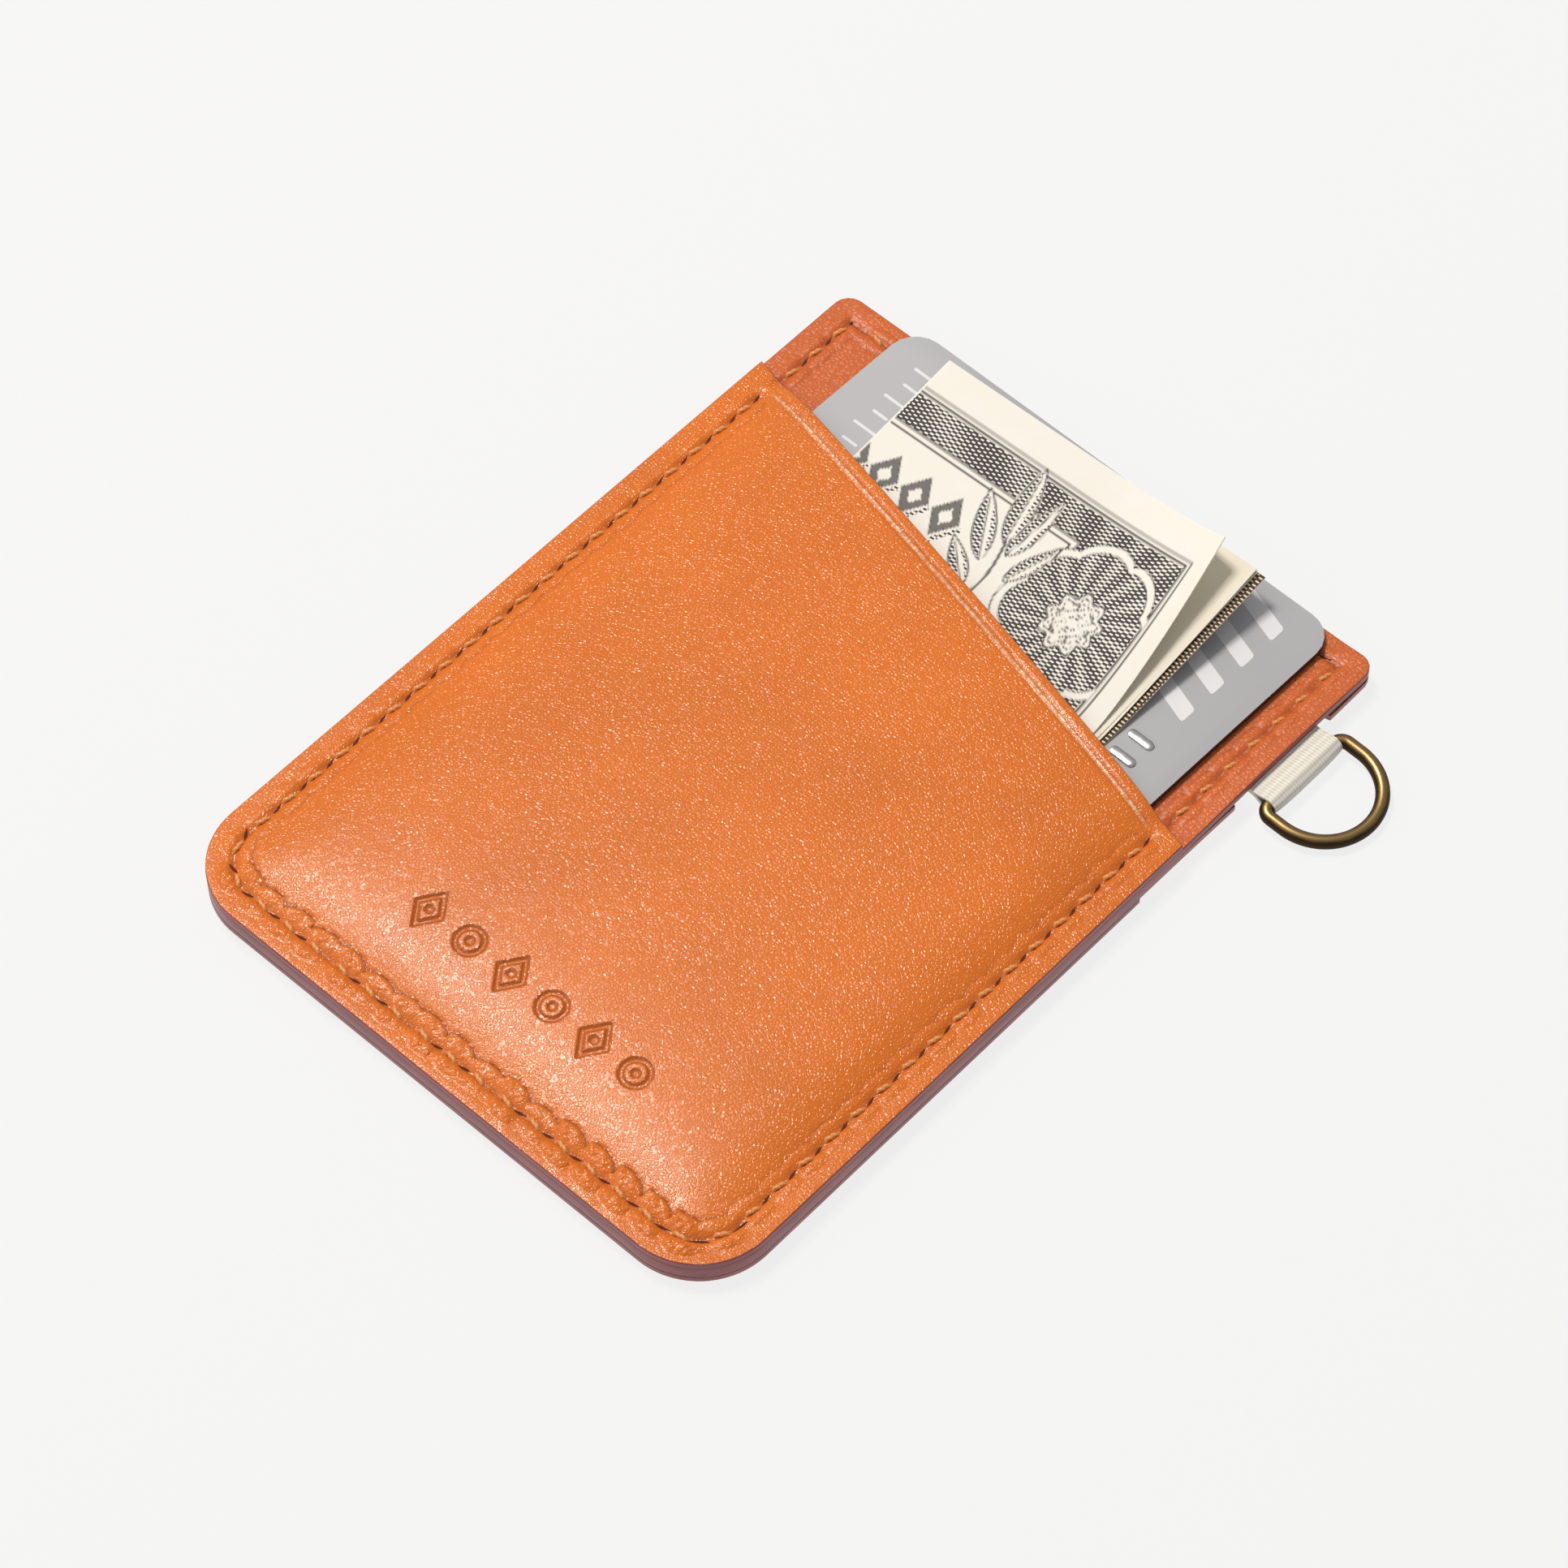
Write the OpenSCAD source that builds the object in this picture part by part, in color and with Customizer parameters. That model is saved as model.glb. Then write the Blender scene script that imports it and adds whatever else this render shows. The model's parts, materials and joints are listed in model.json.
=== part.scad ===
// Slim sewn card holder. Two centre panels are stitched together all round, with a slant
// pocket on each face and a ribbon loop and D-ring let into the right-hand seam. A card and
// a folded note stand in the front pocket and slide out of its mouth.
// Origin: centre of the flat back face. +Y is towards the pocket mouths, +Z out of the front.

/* [Leather body] */
// Width across the two side seams
body_w = 66.8; // [64:0.2:76]
// Length from the bottom seam to the top edge
body_l = 91.7; // [89:0.1:104]
// Radius of the two bottom corners
corner_r = 8; // [5:0.5:12]
// Radius of the two top corners
top_r = 1.8; // [1:0.1:4]
// Thickness of each centre panel
panel_t = 0.8; // [0.75:0.05:1.2]
// Thickness of each pocket panel
pocket_t = 0.7; // [0.6:0.05:1]

/* [Pockets] */
// Height of the front mouth on the centre line, from the bottom seam
front_mouth = 71.6; // [64:0.2:78]
// Height of the back mouth on the centre line, from the bottom seam
back_mouth = 65.7; // [56:0.2:70]
// Slope of both mouths, falling towards the ring side
mouth_slope = 13.1; // [0:0.1:18]
// How far the front pocket swells over what it holds
crown_h = 1.75; // [1.6:0.05:2.4]

/* [Stitching] */
// Distance of the seam from the side and bottom edges
seam_inset = 2.8; // [2.4:0.1:3]
// Distance of the seam from the top edge
seam_top = 2.5; // [2.2:0.1:3.2]
// Pitch of the stitches
stitch_pitch = 3.4; // [2.8:0.1:4.5]
// Width of the thread
thread_w = 0.5; // [0.4:0.05:0.7]

/* [Ribbon and ring] */
// Width of the ribbon
ribbon_w = 9.6; // [8:0.1:12]
// Thickness of one ply of ribbon
ribbon_t = 0.35; // [0.25:0.01:0.36]
// Height of the ribbon's middle above the body's centre
ribbon_y = 32.3; // [20:0.1:33]
// Thickness of the ring's wire
wire_d = 1.4; // [1:0.05:1.5]

/* [Contents] */
// Turn of the card in its pocket
card_turn = 0.76; // [0:0.02:0.8]
// Sideways place of the card
card_x = 1.1; // [-0.5:0.1:1.2]
// How far the card stands beyond the top edge
card_out = 0.35; // [-1:0.05:6]
// How steeply the folded note springs up out of the mouth
note_rise = 8; // [0:0.5:16]
// Lift of the folded note's free leaf
leaf_lift = 14; // [4:0.5:18]

/* [Hidden] */
$fn = 64;
eps = 0.01;
air = 0.02;                      // running gap between loose pieces
half_w = body_w / 2;
half_l = body_l / 2;
z_back = pocket_t;               // back face of the centre panels
z_mid = z_back + panel_t;        // where the two centre panels meet
z_face = z_mid + panel_t;        // front face of the centre panels
z_front = z_face + pocket_t;     // front pocket's seam flange
sink = 0.35;                     // depth that the stitches are drawn into the leather
groove_w = thread_w + 0.3;
seam_x = half_w - seam_inset;
seam_low = -half_l + seam_inset;
seam_high = half_l - seam_top;
seam_r = corner_r - 3.2;         // the seam turns a tighter corner than the edge
card_w = 53.98;                  // standard bank card
card_h = 85.6;
card_t = 0.76;
card_r = 3.18;
note_w = 39.4;                   // one quarter of the note's length and its round folds
note_h = 66.3;
note_t = 0.6;                    // four plies of paper, loosely folded
note_x = -18.5;                  // left fold
leaf_w = 38;                     // the top leaf stops short of the lower ones
note_top = 44.15;                // height of its top edge
leaf_t = 0.15;
shoulder = 0.8;                  // height of the steep sides of the space in the pocket
loop_t = 2 * ribbon_t;
tail_in = 7;                     // how far the ribbon's tails reach in from the edge
notch_l = ribbon_w + 4;
notch_in = 1.6;
hinge_x = half_w + 0.3;
ring_r = ribbon_w / 2 + wire_d / 2 + 0.15;
ring_corner = 1;
bar_x = half_w + 2.2;
bar_z = wire_d / 2 + ribbon_t + 0.07;
wrap_r = wire_d / 2 + 0.05;      // the ribbon runs on the bar with this bore radius
ring_bow = 2.4;                  // from the bar to the centre of the bow
ring_tilt = asin((bar_z - wire_d / 2) / (ring_bow + ring_r));

// Outline of a panel: tight corners at the top, round corners at the bottom, grown by g.
module outline(g = 0) {
    w = half_w + g;
    rb = corner_r + g;
    rt = max(top_r + g, 0.1);
    low = -half_l - g;
    high = half_l + g;
    for (s = [-1, 1]) {
        translate([s * (w - rb), low + rb]) circle(rb);
        translate([s * (w - rt), high - rt]) circle(rt);
    }
    translate([-w, low + rb]) square([2 * w, high - rt - low - rb]);
    translate([-w + rb, low]) square([2 * (w - rb), rb + eps]);
    translate([-w + rt, high - rt - eps]) square([2 * (w - rt), rt + eps]);
}

// Half plane below a slant mouth that crosses the centre line at height y from the seam.
module below_mouth(y) {
    translate([0, y - half_l]) rotate(-mouth_slope) translate([-100, -200]) square([200, 200]);
}

// Track of the seam, groove_w wide: round corners at the bottom and sharp ones at the top.
module seam_shape(d) {
    r = seam_r + d;
    for (s = [-1, 1]) translate([s * (seam_x - seam_r), seam_low + seam_r]) circle(r);
    translate([-seam_x - d, seam_low + seam_r])
        square([2 * (seam_x + d), seam_high + d - seam_low - seam_r]);
    translate([-seam_x + seam_r, seam_low - d]) square([2 * (seam_x - seam_r), r + eps]);
}
module seam_track() {
    difference() {
        seam_shape(groove_w / 2);
        seam_shape(-groove_w / 2);
    }
}

// Sections of the swollen pocket: a steep shoulder, then a flat-topped crown.
function crown(u, p, low, rise) = low + rise * (1 - pow(min(abs(u), 1), p));
crown_n = 10;
module section_x(half, base, low, rise) {
    top = [for (i = [-crown_n:crown_n])
        [i / crown_n * (half - shoulder), crown(i / crown_n, 4, low, rise)]];
    polygon(concat([[-half, base]], top, [[half, base]]));
}
module section_y(start, base, low, rise) {
    run = 26;
    top = [for (i = [0:crown_n])
        [start + shoulder + i / crown_n * run, crown(1 - i / crown_n, 3, low, rise)]];
    polygon(concat([[start, base]], top, [[half_l + 10, low + rise], [half_l + 10, base]]));
}
module swell(inset, base, low, rise) {
    half = seam_x - inset;
    intersection() {
        rotate([90, 0, 0]) translate([0, 0, -half_l - 9])
            linear_extrude(body_l + 18) section_x(half, base, low, rise);
        translate([-half_w, 0, 0]) rotate([90, 0, 90])
            linear_extrude(body_w) section_y(seam_low + inset, base, low, rise);
        translate([0, 0, base - 1]) linear_extrude(20) {
            seam_shape(-inset);
            translate([-half, 0]) square([2 * half, body_l]);
        }
    }
}

module front_pocket() color("#e07a34") difference() {
    union() {
        translate([0, 0, z_face]) linear_extrude(pocket_t)
            intersection() { outline(); below_mouth(front_mouth); }
        intersection() {
            swell(0.5, z_front - 0.1, z_front + shoulder + 0.1, crown_h - shoulder - 0.1);
            linear_extrude(20) below_mouth(front_mouth);
        }
    }
    swell(1, z_face - eps, z_face + shoulder, crown_h - shoulder);
    translate([0, 0, z_front - sink]) linear_extrude(5) intersection() {
        seam_track();
        below_mouth(front_mouth + 1);
    }
}

// Space between the centre panels for the ribbon's tails, from the edge inwards.
module tail_space(z, t, clear) {
    translate([half_w - tail_in - clear, ribbon_y - ribbon_w / 2 - clear, z])
        cube([tail_in + 1, ribbon_w + 2 * clear, t]);
}

module centre_panel_front() color("#d06232") difference() {
    translate([0, 0, z_mid]) linear_extrude(panel_t) outline();
    tail_space(z_mid - eps, ribbon_t + 0.06, 0.1);
    translate([0, 0, z_face - sink]) linear_extrude(sink + 1) difference() {
        seam_track();
        below_mouth(front_mouth);
    }
}

module centre_panel_back() color("#c85c30") difference() {
    translate([0, 0, z_back]) linear_extrude(panel_t) difference() {
        outline();
        translate([half_w - notch_in + 1, ribbon_y - notch_l / 2 + 1]) circle(1);
        translate([half_w - notch_in + 1, ribbon_y + notch_l / 2 - 1]) circle(1);
        translate([half_w - notch_in, ribbon_y - notch_l / 2 + 1])
            square([notch_in + 1, notch_l - 2]);
        translate([half_w - notch_in + 1, ribbon_y - notch_l / 2])
            square([notch_in, notch_l]);
    }
    tail_space(z_mid - ribbon_t, ribbon_t + 1, 0.1);
    translate([0, 0, z_back - 1]) linear_extrude(sink + 1) difference() {
        seam_track();
        below_mouth(back_mouth);
    }
}

module back_pocket() color("#d86f36") difference() {
    linear_extrude(pocket_t) intersection() { outline(); below_mouth(back_mouth); }
    translate([0, 0, -1]) linear_extrude(sink + 1) seam_track();
}

// One stitch: a flat bar of thread with round ends, lying along x.
module stitch(l, t) {
    linear_extrude(t) {
        square([l - thread_w, thread_w], center = true);
        for (s = [-1, 1]) translate([s * (l - thread_w) / 2, 0]) circle(thread_w / 2, $fn = 16);
    }
}

// Lays a stitch every pitch along the seam. side_z gives the floor above and below the mouth.
side_run = seam_high - seam_low - seam_r;
turn_run = seam_r * PI / 2;
bottom_run = 2 * (seam_x - seam_r);
top_run = 2 * seam_x;
module stitches(low_z, high_z, mouth, t) {
    len = stitch_pitch - 0.8;
    function floor_z(x, y) = y + half_l > mouth - x * tan(mouth_slope) + 0.4 ? high_z : low_z;
    n_side = floor(side_run / stitch_pitch);
    n_low = floor(bottom_run / stitch_pitch);
    n_top = floor(top_run / stitch_pitch) - 1;
    step = side_run / n_side;
    for (s = [-1, 1], i = [0:n_side - 1]) {
        y = seam_low + seam_r + (i + 0.5) * step;
        gap = abs(y + half_l - mouth + s * seam_x * tan(mouth_slope));
        if (gap > len / 2 + 0.3)
            translate([s * seam_x, y, floor_z(s * seam_x, y)]) rotate(90) stitch(len, t);
    }
    for (s = [-1, 1], i = [0:1]) {
        a = 22.5 + 45 * i;
        translate([s * (seam_x - seam_r + seam_r * cos(a)), seam_low + seam_r * (1 - sin(a)), low_z])
            rotate(s * (90 - a)) stitch(min(len, turn_run / 2 - 0.6), t);
    }
    for (i = [0:n_low - 1])
        translate([(i + 0.5 - n_low / 2) * bottom_run / n_low, seam_low, low_z]) stitch(len, t);
    for (i = [0:n_top - 1])
        translate([(i + 0.5 - n_top / 2) * (top_run - stitch_pitch) / n_top, seam_high, high_z])
            stitch(len, t);
}

module needle_thread() color("#e7b27c")
    stitches(z_front - sink, z_face - sink, front_mouth, sink - air);

module bobbin_thread() color("#d79a62")
    stitches(air, z_back + air, back_mouth, sink - air);

module ribbon_tails() color("#efe9da")
    translate([half_w - tail_in, ribbon_y - ribbon_w / 2, z_mid - ribbon_t])
        cube([tail_in - 0.15, ribbon_w, loop_t]);

// Two round ends and the straight plies that run between them, l long.
module belt(ax, az, ra, bx, bz, rb, l) {
    d = norm([bx - ax, bz - az]);
    lean = atan2(bz - az, bx - ax);
    off = acos((ra - rb) / d);
    function at(x, z, r, a) = [x + (r - eps) * cos(a), z + (r - eps) * sin(a)];
    union() {
        translate([ax, az, 0]) cylinder(r = ra, h = l);
        translate([bx, bz, 0]) cylinder(r = rb, h = l);
        linear_extrude(l)
            polygon([at(ax, az, ra, lean + off), at(bx, bz, rb, lean + off),
                     at(bx, bz, rb, lean - off), at(ax, az, ra, lean - off)]);
    }
}

module ribbon_loop() color("#f4efe2")
    translate([0, ribbon_y + ribbon_w / 2, 0]) rotate([90, 0, 0]) difference() {
        belt(hinge_x, z_mid, ribbon_t, bar_x, bar_z, wrap_r + ribbon_t, ribbon_w);
        translate([0, 0, -1])
            belt(hinge_x + 0.9, z_mid - 0.15, 0.1, bar_x, bar_z, wrap_r, ribbon_w + 2);
    }

// The ring lies on the bar's axis: x runs out from the bar, y along it.
module d_wire() {
    r = wire_d / 2;
    straight = ring_r - ring_corner;
    rotate([90, 0, 0]) cylinder(r = r, h = 2 * straight, center = true);
    for (s = [-1, 1]) {
        translate([ring_corner, s * straight, 0]) rotate(s > 0 ? 90 : 180)
            rotate_extrude(angle = 90) translate([ring_corner, 0]) circle(r);
        translate([ring_corner, s * ring_r, 0]) rotate([0, 90, 0])
            cylinder(r = r, h = ring_bow - ring_corner);
    }
    translate([ring_bow, 0, 0]) rotate(-90)
        rotate_extrude(angle = 180) translate([ring_r, 0]) circle(r);
}

module d_ring() color("#8a6a3c")
    translate([bar_x, ribbon_y, bar_z]) rotate([0, ring_tilt, 0]) d_wire();

module bank_card() color("#b9b9bb")
    translate([card_x, half_l + card_out - card_h / 2, z_face + air]) rotate(-card_turn)
        linear_extrude(card_t) {
            square([card_w - 2 * card_r, card_h], center = true);
            square([card_w, card_h - 2 * card_r], center = true);
            for (sx = [-1, 1], sy = [-1, 1])
                translate([sx * (card_w / 2 - card_r), sy * (card_h / 2 - card_r)])
                    circle(card_r);
        }

note_z = z_face + card_t + 2 * air;
leaf_in = 12;                    // width of the lifted part of the top leaf
leaf_y = 15;                     // and how far down from the top edge it lifts
module note_plan(w) {
    translate([note_x, note_top - note_h]) square([w, note_h]);
}
// Paper between two heights: flat in the pocket, sprung up beyond the mouth.
module layer(low, high) {
    up = 50 * tan(note_rise);
    intersection() {
        translate([0, front_mouth - half_l, note_z]) rotate(-mouth_slope) rotate([90, 0, 90])
            translate([0, 0, -80]) linear_extrude(160)
                polygon([[-90, low], [0, low], [50, low + up], [50, high + up], [0, high], [-90, high]]);
        linear_extrude(40) children();
    }
}
module free_leaf() {
    y = front_mouth - half_l;
    intersection() {
        translate([0, y, note_z]) rotate(-mouth_slope) rotate([note_rise, 0, 0]) rotate(mouth_slope)
            translate([note_x + leaf_w - leaf_in, note_top - leaf_y - y - 5, note_t - leaf_t - 0.05])
                rotate([0, -leaf_lift, 0]) cube([leaf_in, leaf_y + 15, leaf_t]);
        translate([note_x, note_top - leaf_y, 0]) cube([leaf_w, leaf_y, 40]);
    }
}
module folded_note() color("#faf3e4") union() {
    layer(0, note_t - leaf_t) note_plan(note_w);
    layer(0, note_t) difference() {
        note_plan(leaf_w);
        translate([note_x + leaf_w - leaf_in + 0.5, note_top - leaf_y]) square(40);
    }
    free_leaf();
}

front_pocket();
centre_panel_front();
centre_panel_back();
back_pocket();
needle_thread();
bobbin_thread();
ribbon_tails();
ribbon_loop();
d_ring();
bank_card();
folded_note();
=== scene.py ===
"""Visual model of a slim sewn card holder with a ribbon and D-ring, a bank card and a folded note.

Lengths in the classes are millimetres in the row frame. Meshes are written in metres.
"""

from __future__ import annotations

import json
import logging
import math
from collections.abc import Callable, Iterator
from contextlib import contextmanager
from dataclasses import dataclass, field
from enum import Enum
from functools import partial

import bmesh
import bpy
import numpy as np
from mathutils import Euler, Matrix, Vector

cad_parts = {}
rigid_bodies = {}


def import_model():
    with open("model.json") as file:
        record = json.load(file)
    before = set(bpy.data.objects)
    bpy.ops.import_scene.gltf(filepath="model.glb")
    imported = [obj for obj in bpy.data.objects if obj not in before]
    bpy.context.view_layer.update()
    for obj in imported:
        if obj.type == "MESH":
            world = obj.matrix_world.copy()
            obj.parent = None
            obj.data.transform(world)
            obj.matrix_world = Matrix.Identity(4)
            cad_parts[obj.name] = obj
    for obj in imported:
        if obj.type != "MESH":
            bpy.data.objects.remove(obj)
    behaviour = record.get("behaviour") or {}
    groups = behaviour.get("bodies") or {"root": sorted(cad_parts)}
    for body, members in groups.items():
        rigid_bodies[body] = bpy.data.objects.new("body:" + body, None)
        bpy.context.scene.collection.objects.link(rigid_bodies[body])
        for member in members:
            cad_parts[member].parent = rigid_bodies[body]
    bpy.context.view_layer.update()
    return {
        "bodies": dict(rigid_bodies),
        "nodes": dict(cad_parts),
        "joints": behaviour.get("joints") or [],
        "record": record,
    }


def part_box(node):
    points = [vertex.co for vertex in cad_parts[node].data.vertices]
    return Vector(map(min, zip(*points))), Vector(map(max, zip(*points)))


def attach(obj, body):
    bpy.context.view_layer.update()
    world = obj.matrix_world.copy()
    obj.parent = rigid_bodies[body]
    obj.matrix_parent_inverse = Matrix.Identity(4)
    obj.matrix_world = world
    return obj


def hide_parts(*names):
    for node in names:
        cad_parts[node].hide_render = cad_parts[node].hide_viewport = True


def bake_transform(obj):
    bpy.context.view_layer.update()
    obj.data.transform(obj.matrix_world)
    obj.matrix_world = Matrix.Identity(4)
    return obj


MM = 0.001
LOG = logging.getLogger("card_holder")
Points = np.ndarray
Test = Callable[[Points, Points], np.ndarray]
Adder = Callable[..., bpy.types.Node]


class Side(Enum):
    """Which way a panel's grain side faces."""

    FRONT = 1
    BACK = -1


# --------------------------------------------------------------------------- small tools


def linear(code: str, *tint: float) -> tuple[float, float, float, float]:
    """Turn an sRGB hex colour into linear RGBA, dimmed or tinted if asked.

    Args:
        code: Six hex digits after a hash sign.
        *tint: One factor for all three channels, or one for each.

    Returns:
        Linear red, green, blue and an alpha of 1.
    """
    parts = [int(code.lstrip("#")[i : i + 2], 16) / 255 for i in (0, 2, 4)]
    rgb = [c / 12.92 if c <= 0.04045 else ((c + 0.055) / 1.055) ** 2.4 for c in parts]
    factors = tint if len(tint) == 3 else (tint or (1.0,)) * 3
    return (*(min(1.0, c * f) for c, f in zip(rgb, factors)), 1.0)


def add_node(tree: bpy.types.NodeTree, kind: str, inputs: dict | None = None, **settings) -> bpy.types.Node:
    """Add one shader node with its settings, and set or link its inputs.

    Args:
        tree: Node tree that takes the node.
        kind: Blender's class name of the node, without the ShaderNode in front.
        inputs: As in feed().
        **settings: Attributes of the node.

    Returns:
        The new node.
    """
    node = tree.nodes.new("ShaderNode" + kind)
    for name, value in settings.items():
        setattr(node, name, value)
    feed(node, inputs or {})
    return node


def feed(node: bpy.types.Node, inputs: dict) -> None:
    """Set or link the inputs of a node.

    Args:
        node: The node.
        inputs: Socket name or number to a value, to a socket, or to a node whose first output is linked in.
    """
    for key, value in inputs.items():
        if isinstance(value, bpy.types.Node):
            value = value.outputs[0]
        if isinstance(value, bpy.types.NodeSocket):
            node.id_data.links.new(value, node.inputs[key])
        else:
            node.inputs[key].default_value = value


def smooth(value: np.ndarray) -> np.ndarray:
    """Ease a value from 0 to 1 between 0 and 1, flat outside."""
    t = np.clip(value, 0.0, 1.0)
    return t * t * (3 - 2 * t)


def bell(distance: np.ndarray, width: float) -> np.ndarray:
    """Give 1 at no distance, falling off smoothly: 0.37 at one width, and next to nothing at two."""
    return np.exp(-((distance / width) ** 2))


def read(piece: bpy.types.Object) -> Points:
    """Read where a piece's vertices are.

    Args:
        piece: The piece.

    Returns:
        The vertices in millimetres, one row each.
    """
    flat = np.empty(len(piece.data.vertices) * 3, np.float64)
    piece.data.vertices.foreach_get("co", flat)
    return flat.reshape(-1, 3) / MM


def write(piece: bpy.types.Object, points: Points) -> None:
    """Put a piece's vertices, given in millimetres, back into its mesh."""
    piece.data.vertices.foreach_set("co", (points * MM).ravel())
    piece.data.update()


def activate(*pieces: bpy.types.Object) -> None:
    """Select only these pieces.

    Args:
        *pieces: The pieces; the first becomes the active one.
    """
    bpy.ops.object.select_all(action="DESELECT")
    for piece in pieces:
        piece.select_set(True)
    bpy.context.view_layer.objects.active = pieces[0]


def named(name: str) -> bpy.types.Object:
    """Name the active object and its mesh, and settle its transform into the mesh.

    Args:
        name: The new name.

    Returns:
        The object.
    """
    piece = bpy.context.object
    piece.name = piece.data.name = name
    activate(piece)
    bpy.ops.object.transform_apply(location=True, rotation=True, scale=True)
    return piece


@contextmanager
def editing(piece: bpy.types.Object, test: Test | None = None) -> Iterator[None]:
    """Keep a piece in edit mode, with some of its faces or all its vertices selected.

    Args:
        piece: Piece to edit.
        test: Takes face centres in millimetres and face normals, gives one bool each. None selects all.

    Yields:
        Nothing; the piece is back in object mode afterwards.
    """
    activate(piece)
    bpy.ops.object.mode_set(mode="EDIT")
    if test is None:
        bpy.ops.mesh.select_mode(type="VERT")
        bpy.ops.mesh.select_all(action="SELECT")
    else:
        bpy.ops.mesh.select_mode(type="FACE")
        bpy.ops.mesh.select_all(action="DESELECT")
        bpy.ops.object.mode_set(mode="OBJECT")
        mesh = piece.data
        centres, normals = (np.empty(len(mesh.polygons) * 3) for _ in range(2))
        mesh.polygons.foreach_get("center", centres)
        mesh.polygons.foreach_get("normal", normals)
        chosen = test(centres.reshape(-1, 3) / MM, normals.reshape(-1, 3))
        mesh.polygons.foreach_set("select", chosen)
        bpy.ops.object.mode_set(mode="EDIT")
    yield
    bpy.ops.object.mode_set(mode="OBJECT")


def soften(width: float, segments: int = 2, **settings) -> None:
    """Round the rim of the selected faces off.

    Args:
        width: How far, in millimetres.
        segments: How many faces the rounding gets.
        **settings: Further settings of the bevel.
    """
    bpy.ops.mesh.region_to_loop()
    bpy.ops.mesh.bevel(offset=width * MM, segments=segments, affect="EDGES", **settings)


def draw_on(length: tuple[float, float, float], steps: int) -> None:
    """Extrude what is selected along a straight line, in equal steps.

    Args:
        length: How far in all along x, y and z, in millimetres.
        steps: Number of steps.
    """
    step = tuple(part / steps * MM for part in length)
    for _ in range(steps):
        bpy.ops.mesh.extrude_region_move(TRANSFORM_OT_translate={"value": step})


def wear(piece: bpy.types.Object, *finishes: Finish) -> None:
    """Give a piece its finishes, one material slot each."""
    for finish in finishes:
        piece.data.materials.append(Wardrobe.of(finish))


def paint_faces(piece: bpy.types.Object, test: Test, slot: int) -> None:
    """Give the faces that pass a test another material slot.

    Args:
        piece: The piece.
        test: As in editing().
        slot: Number of the slot.
    """
    with editing(piece, test):
        piece.active_material_index = slot
        bpy.ops.object.material_slot_assign()


def finish_with(piece: bpy.types.Object, kind: str, **settings) -> None:
    """Add one modifier to a piece and apply it.

    Args:
        piece: The piece.
        kind: Blender's type of the modifier.
        **settings: Attributes of the modifier.
    """
    activate(piece)
    modifier = piece.modifiers.new(kind.title(), kind)
    for name, value in settings.items():
        setattr(modifier, name, value)
    bpy.ops.object.modifier_apply(modifier=modifier.name)


def shade(piece: bpy.types.Object, degrees: float = 40.0) -> None:
    """Shade a piece smooth, with its sharper edges kept."""
    activate(piece)
    bpy.ops.object.shade_smooth_by_angle(angle=math.radians(degrees))


def join(name: str, parts: list[bpy.types.Object]) -> bpy.types.Object:
    """Join several meshes into one piece.

    Args:
        name: Name of the piece.
        parts: The meshes.

    Returns:
        The piece.
    """
    activate(*parts)
    bpy.ops.object.join()
    return named(name)


def spaced(stops: list[float], cells: list[float]) -> np.ndarray:
    """Space grid lines between stops, with a cell size for each stretch.

    Args:
        stops: Places in order, one more than there are cell sizes.
        cells: About how wide a cell is between each pair of stops.

    Returns:
        All the lines, in order.
    """
    lines = [np.array([stops[0]])]
    for low, high, cell in zip(stops, stops[1:], cells):
        lines.append(np.linspace(low, high, max(1, round((high - low) / cell)) + 1)[1:])
    return np.concatenate(lines)


def grid(name: str, xs: np.ndarray, ys: np.ndarray) -> bpy.types.Object:
    """Add a grid primitive and set its lines out at the given places, at z = 0.

    Args:
        name: Name of the grid.
        xs: Places of the lines across, in millimetres.
        ys: Places of the lines along.

    Returns:
        The grid.
    """
    bpy.ops.object.select_all(action="DESELECT")
    bpy.ops.mesh.primitive_grid_add(x_subdivisions=len(xs) - 1, y_subdivisions=len(ys) - 1, size=1)
    piece = named(name)
    points = read(piece) * MM
    i = np.rint((points[:, 0] + 0.5) * (len(xs) - 1)).astype(int)
    j = np.rint((points[:, 1] + 0.5) * (len(ys) - 1)).astype(int)
    write(piece, np.column_stack([xs[i], ys[j], np.zeros(len(i))]))
    return piece


def note_value(piece: bpy.types.Object, name: str, values: np.ndarray) -> None:
    """Store one number for each vertex, for a material to read."""
    layer = piece.data.attributes.new(name, "FLOAT", "POINT")
    layer.data.foreach_set("value", np.asarray(values, np.float32))


# --------------------------------------------------------------------------- finishes


@dataclass(frozen=True)
class Finish:
    """A named material with one Principled shader.

    Attributes:
        name: Maker's name of the material.
        colour: Main colour, sRGB hex.
        roughness: Surface roughness from 0 to 1.
    """

    name: str
    colour: str
    roughness: float

    def start(self) -> tuple[bpy.types.Material, Adder, bpy.types.Node]:
        """Make the material with its shader and output.

        Returns:
            The material, a function that adds nodes to it, and the Principled node.
        """
        material = bpy.data.materials.new(self.name)
        material.use_nodes = True
        material.node_tree.nodes.clear()
        add = partial(add_node, material.node_tree)
        shader = add("BsdfPrincipled", {"Base Color": linear(self.colour), "Roughness": self.roughness})
        add("OutputMaterial", {"Surface": shader})
        material.diffuse_color = linear(self.colour)
        return material, add, shader

    def build(self) -> bpy.types.Material:
        """Make the material."""
        return self.start()[0]


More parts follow.
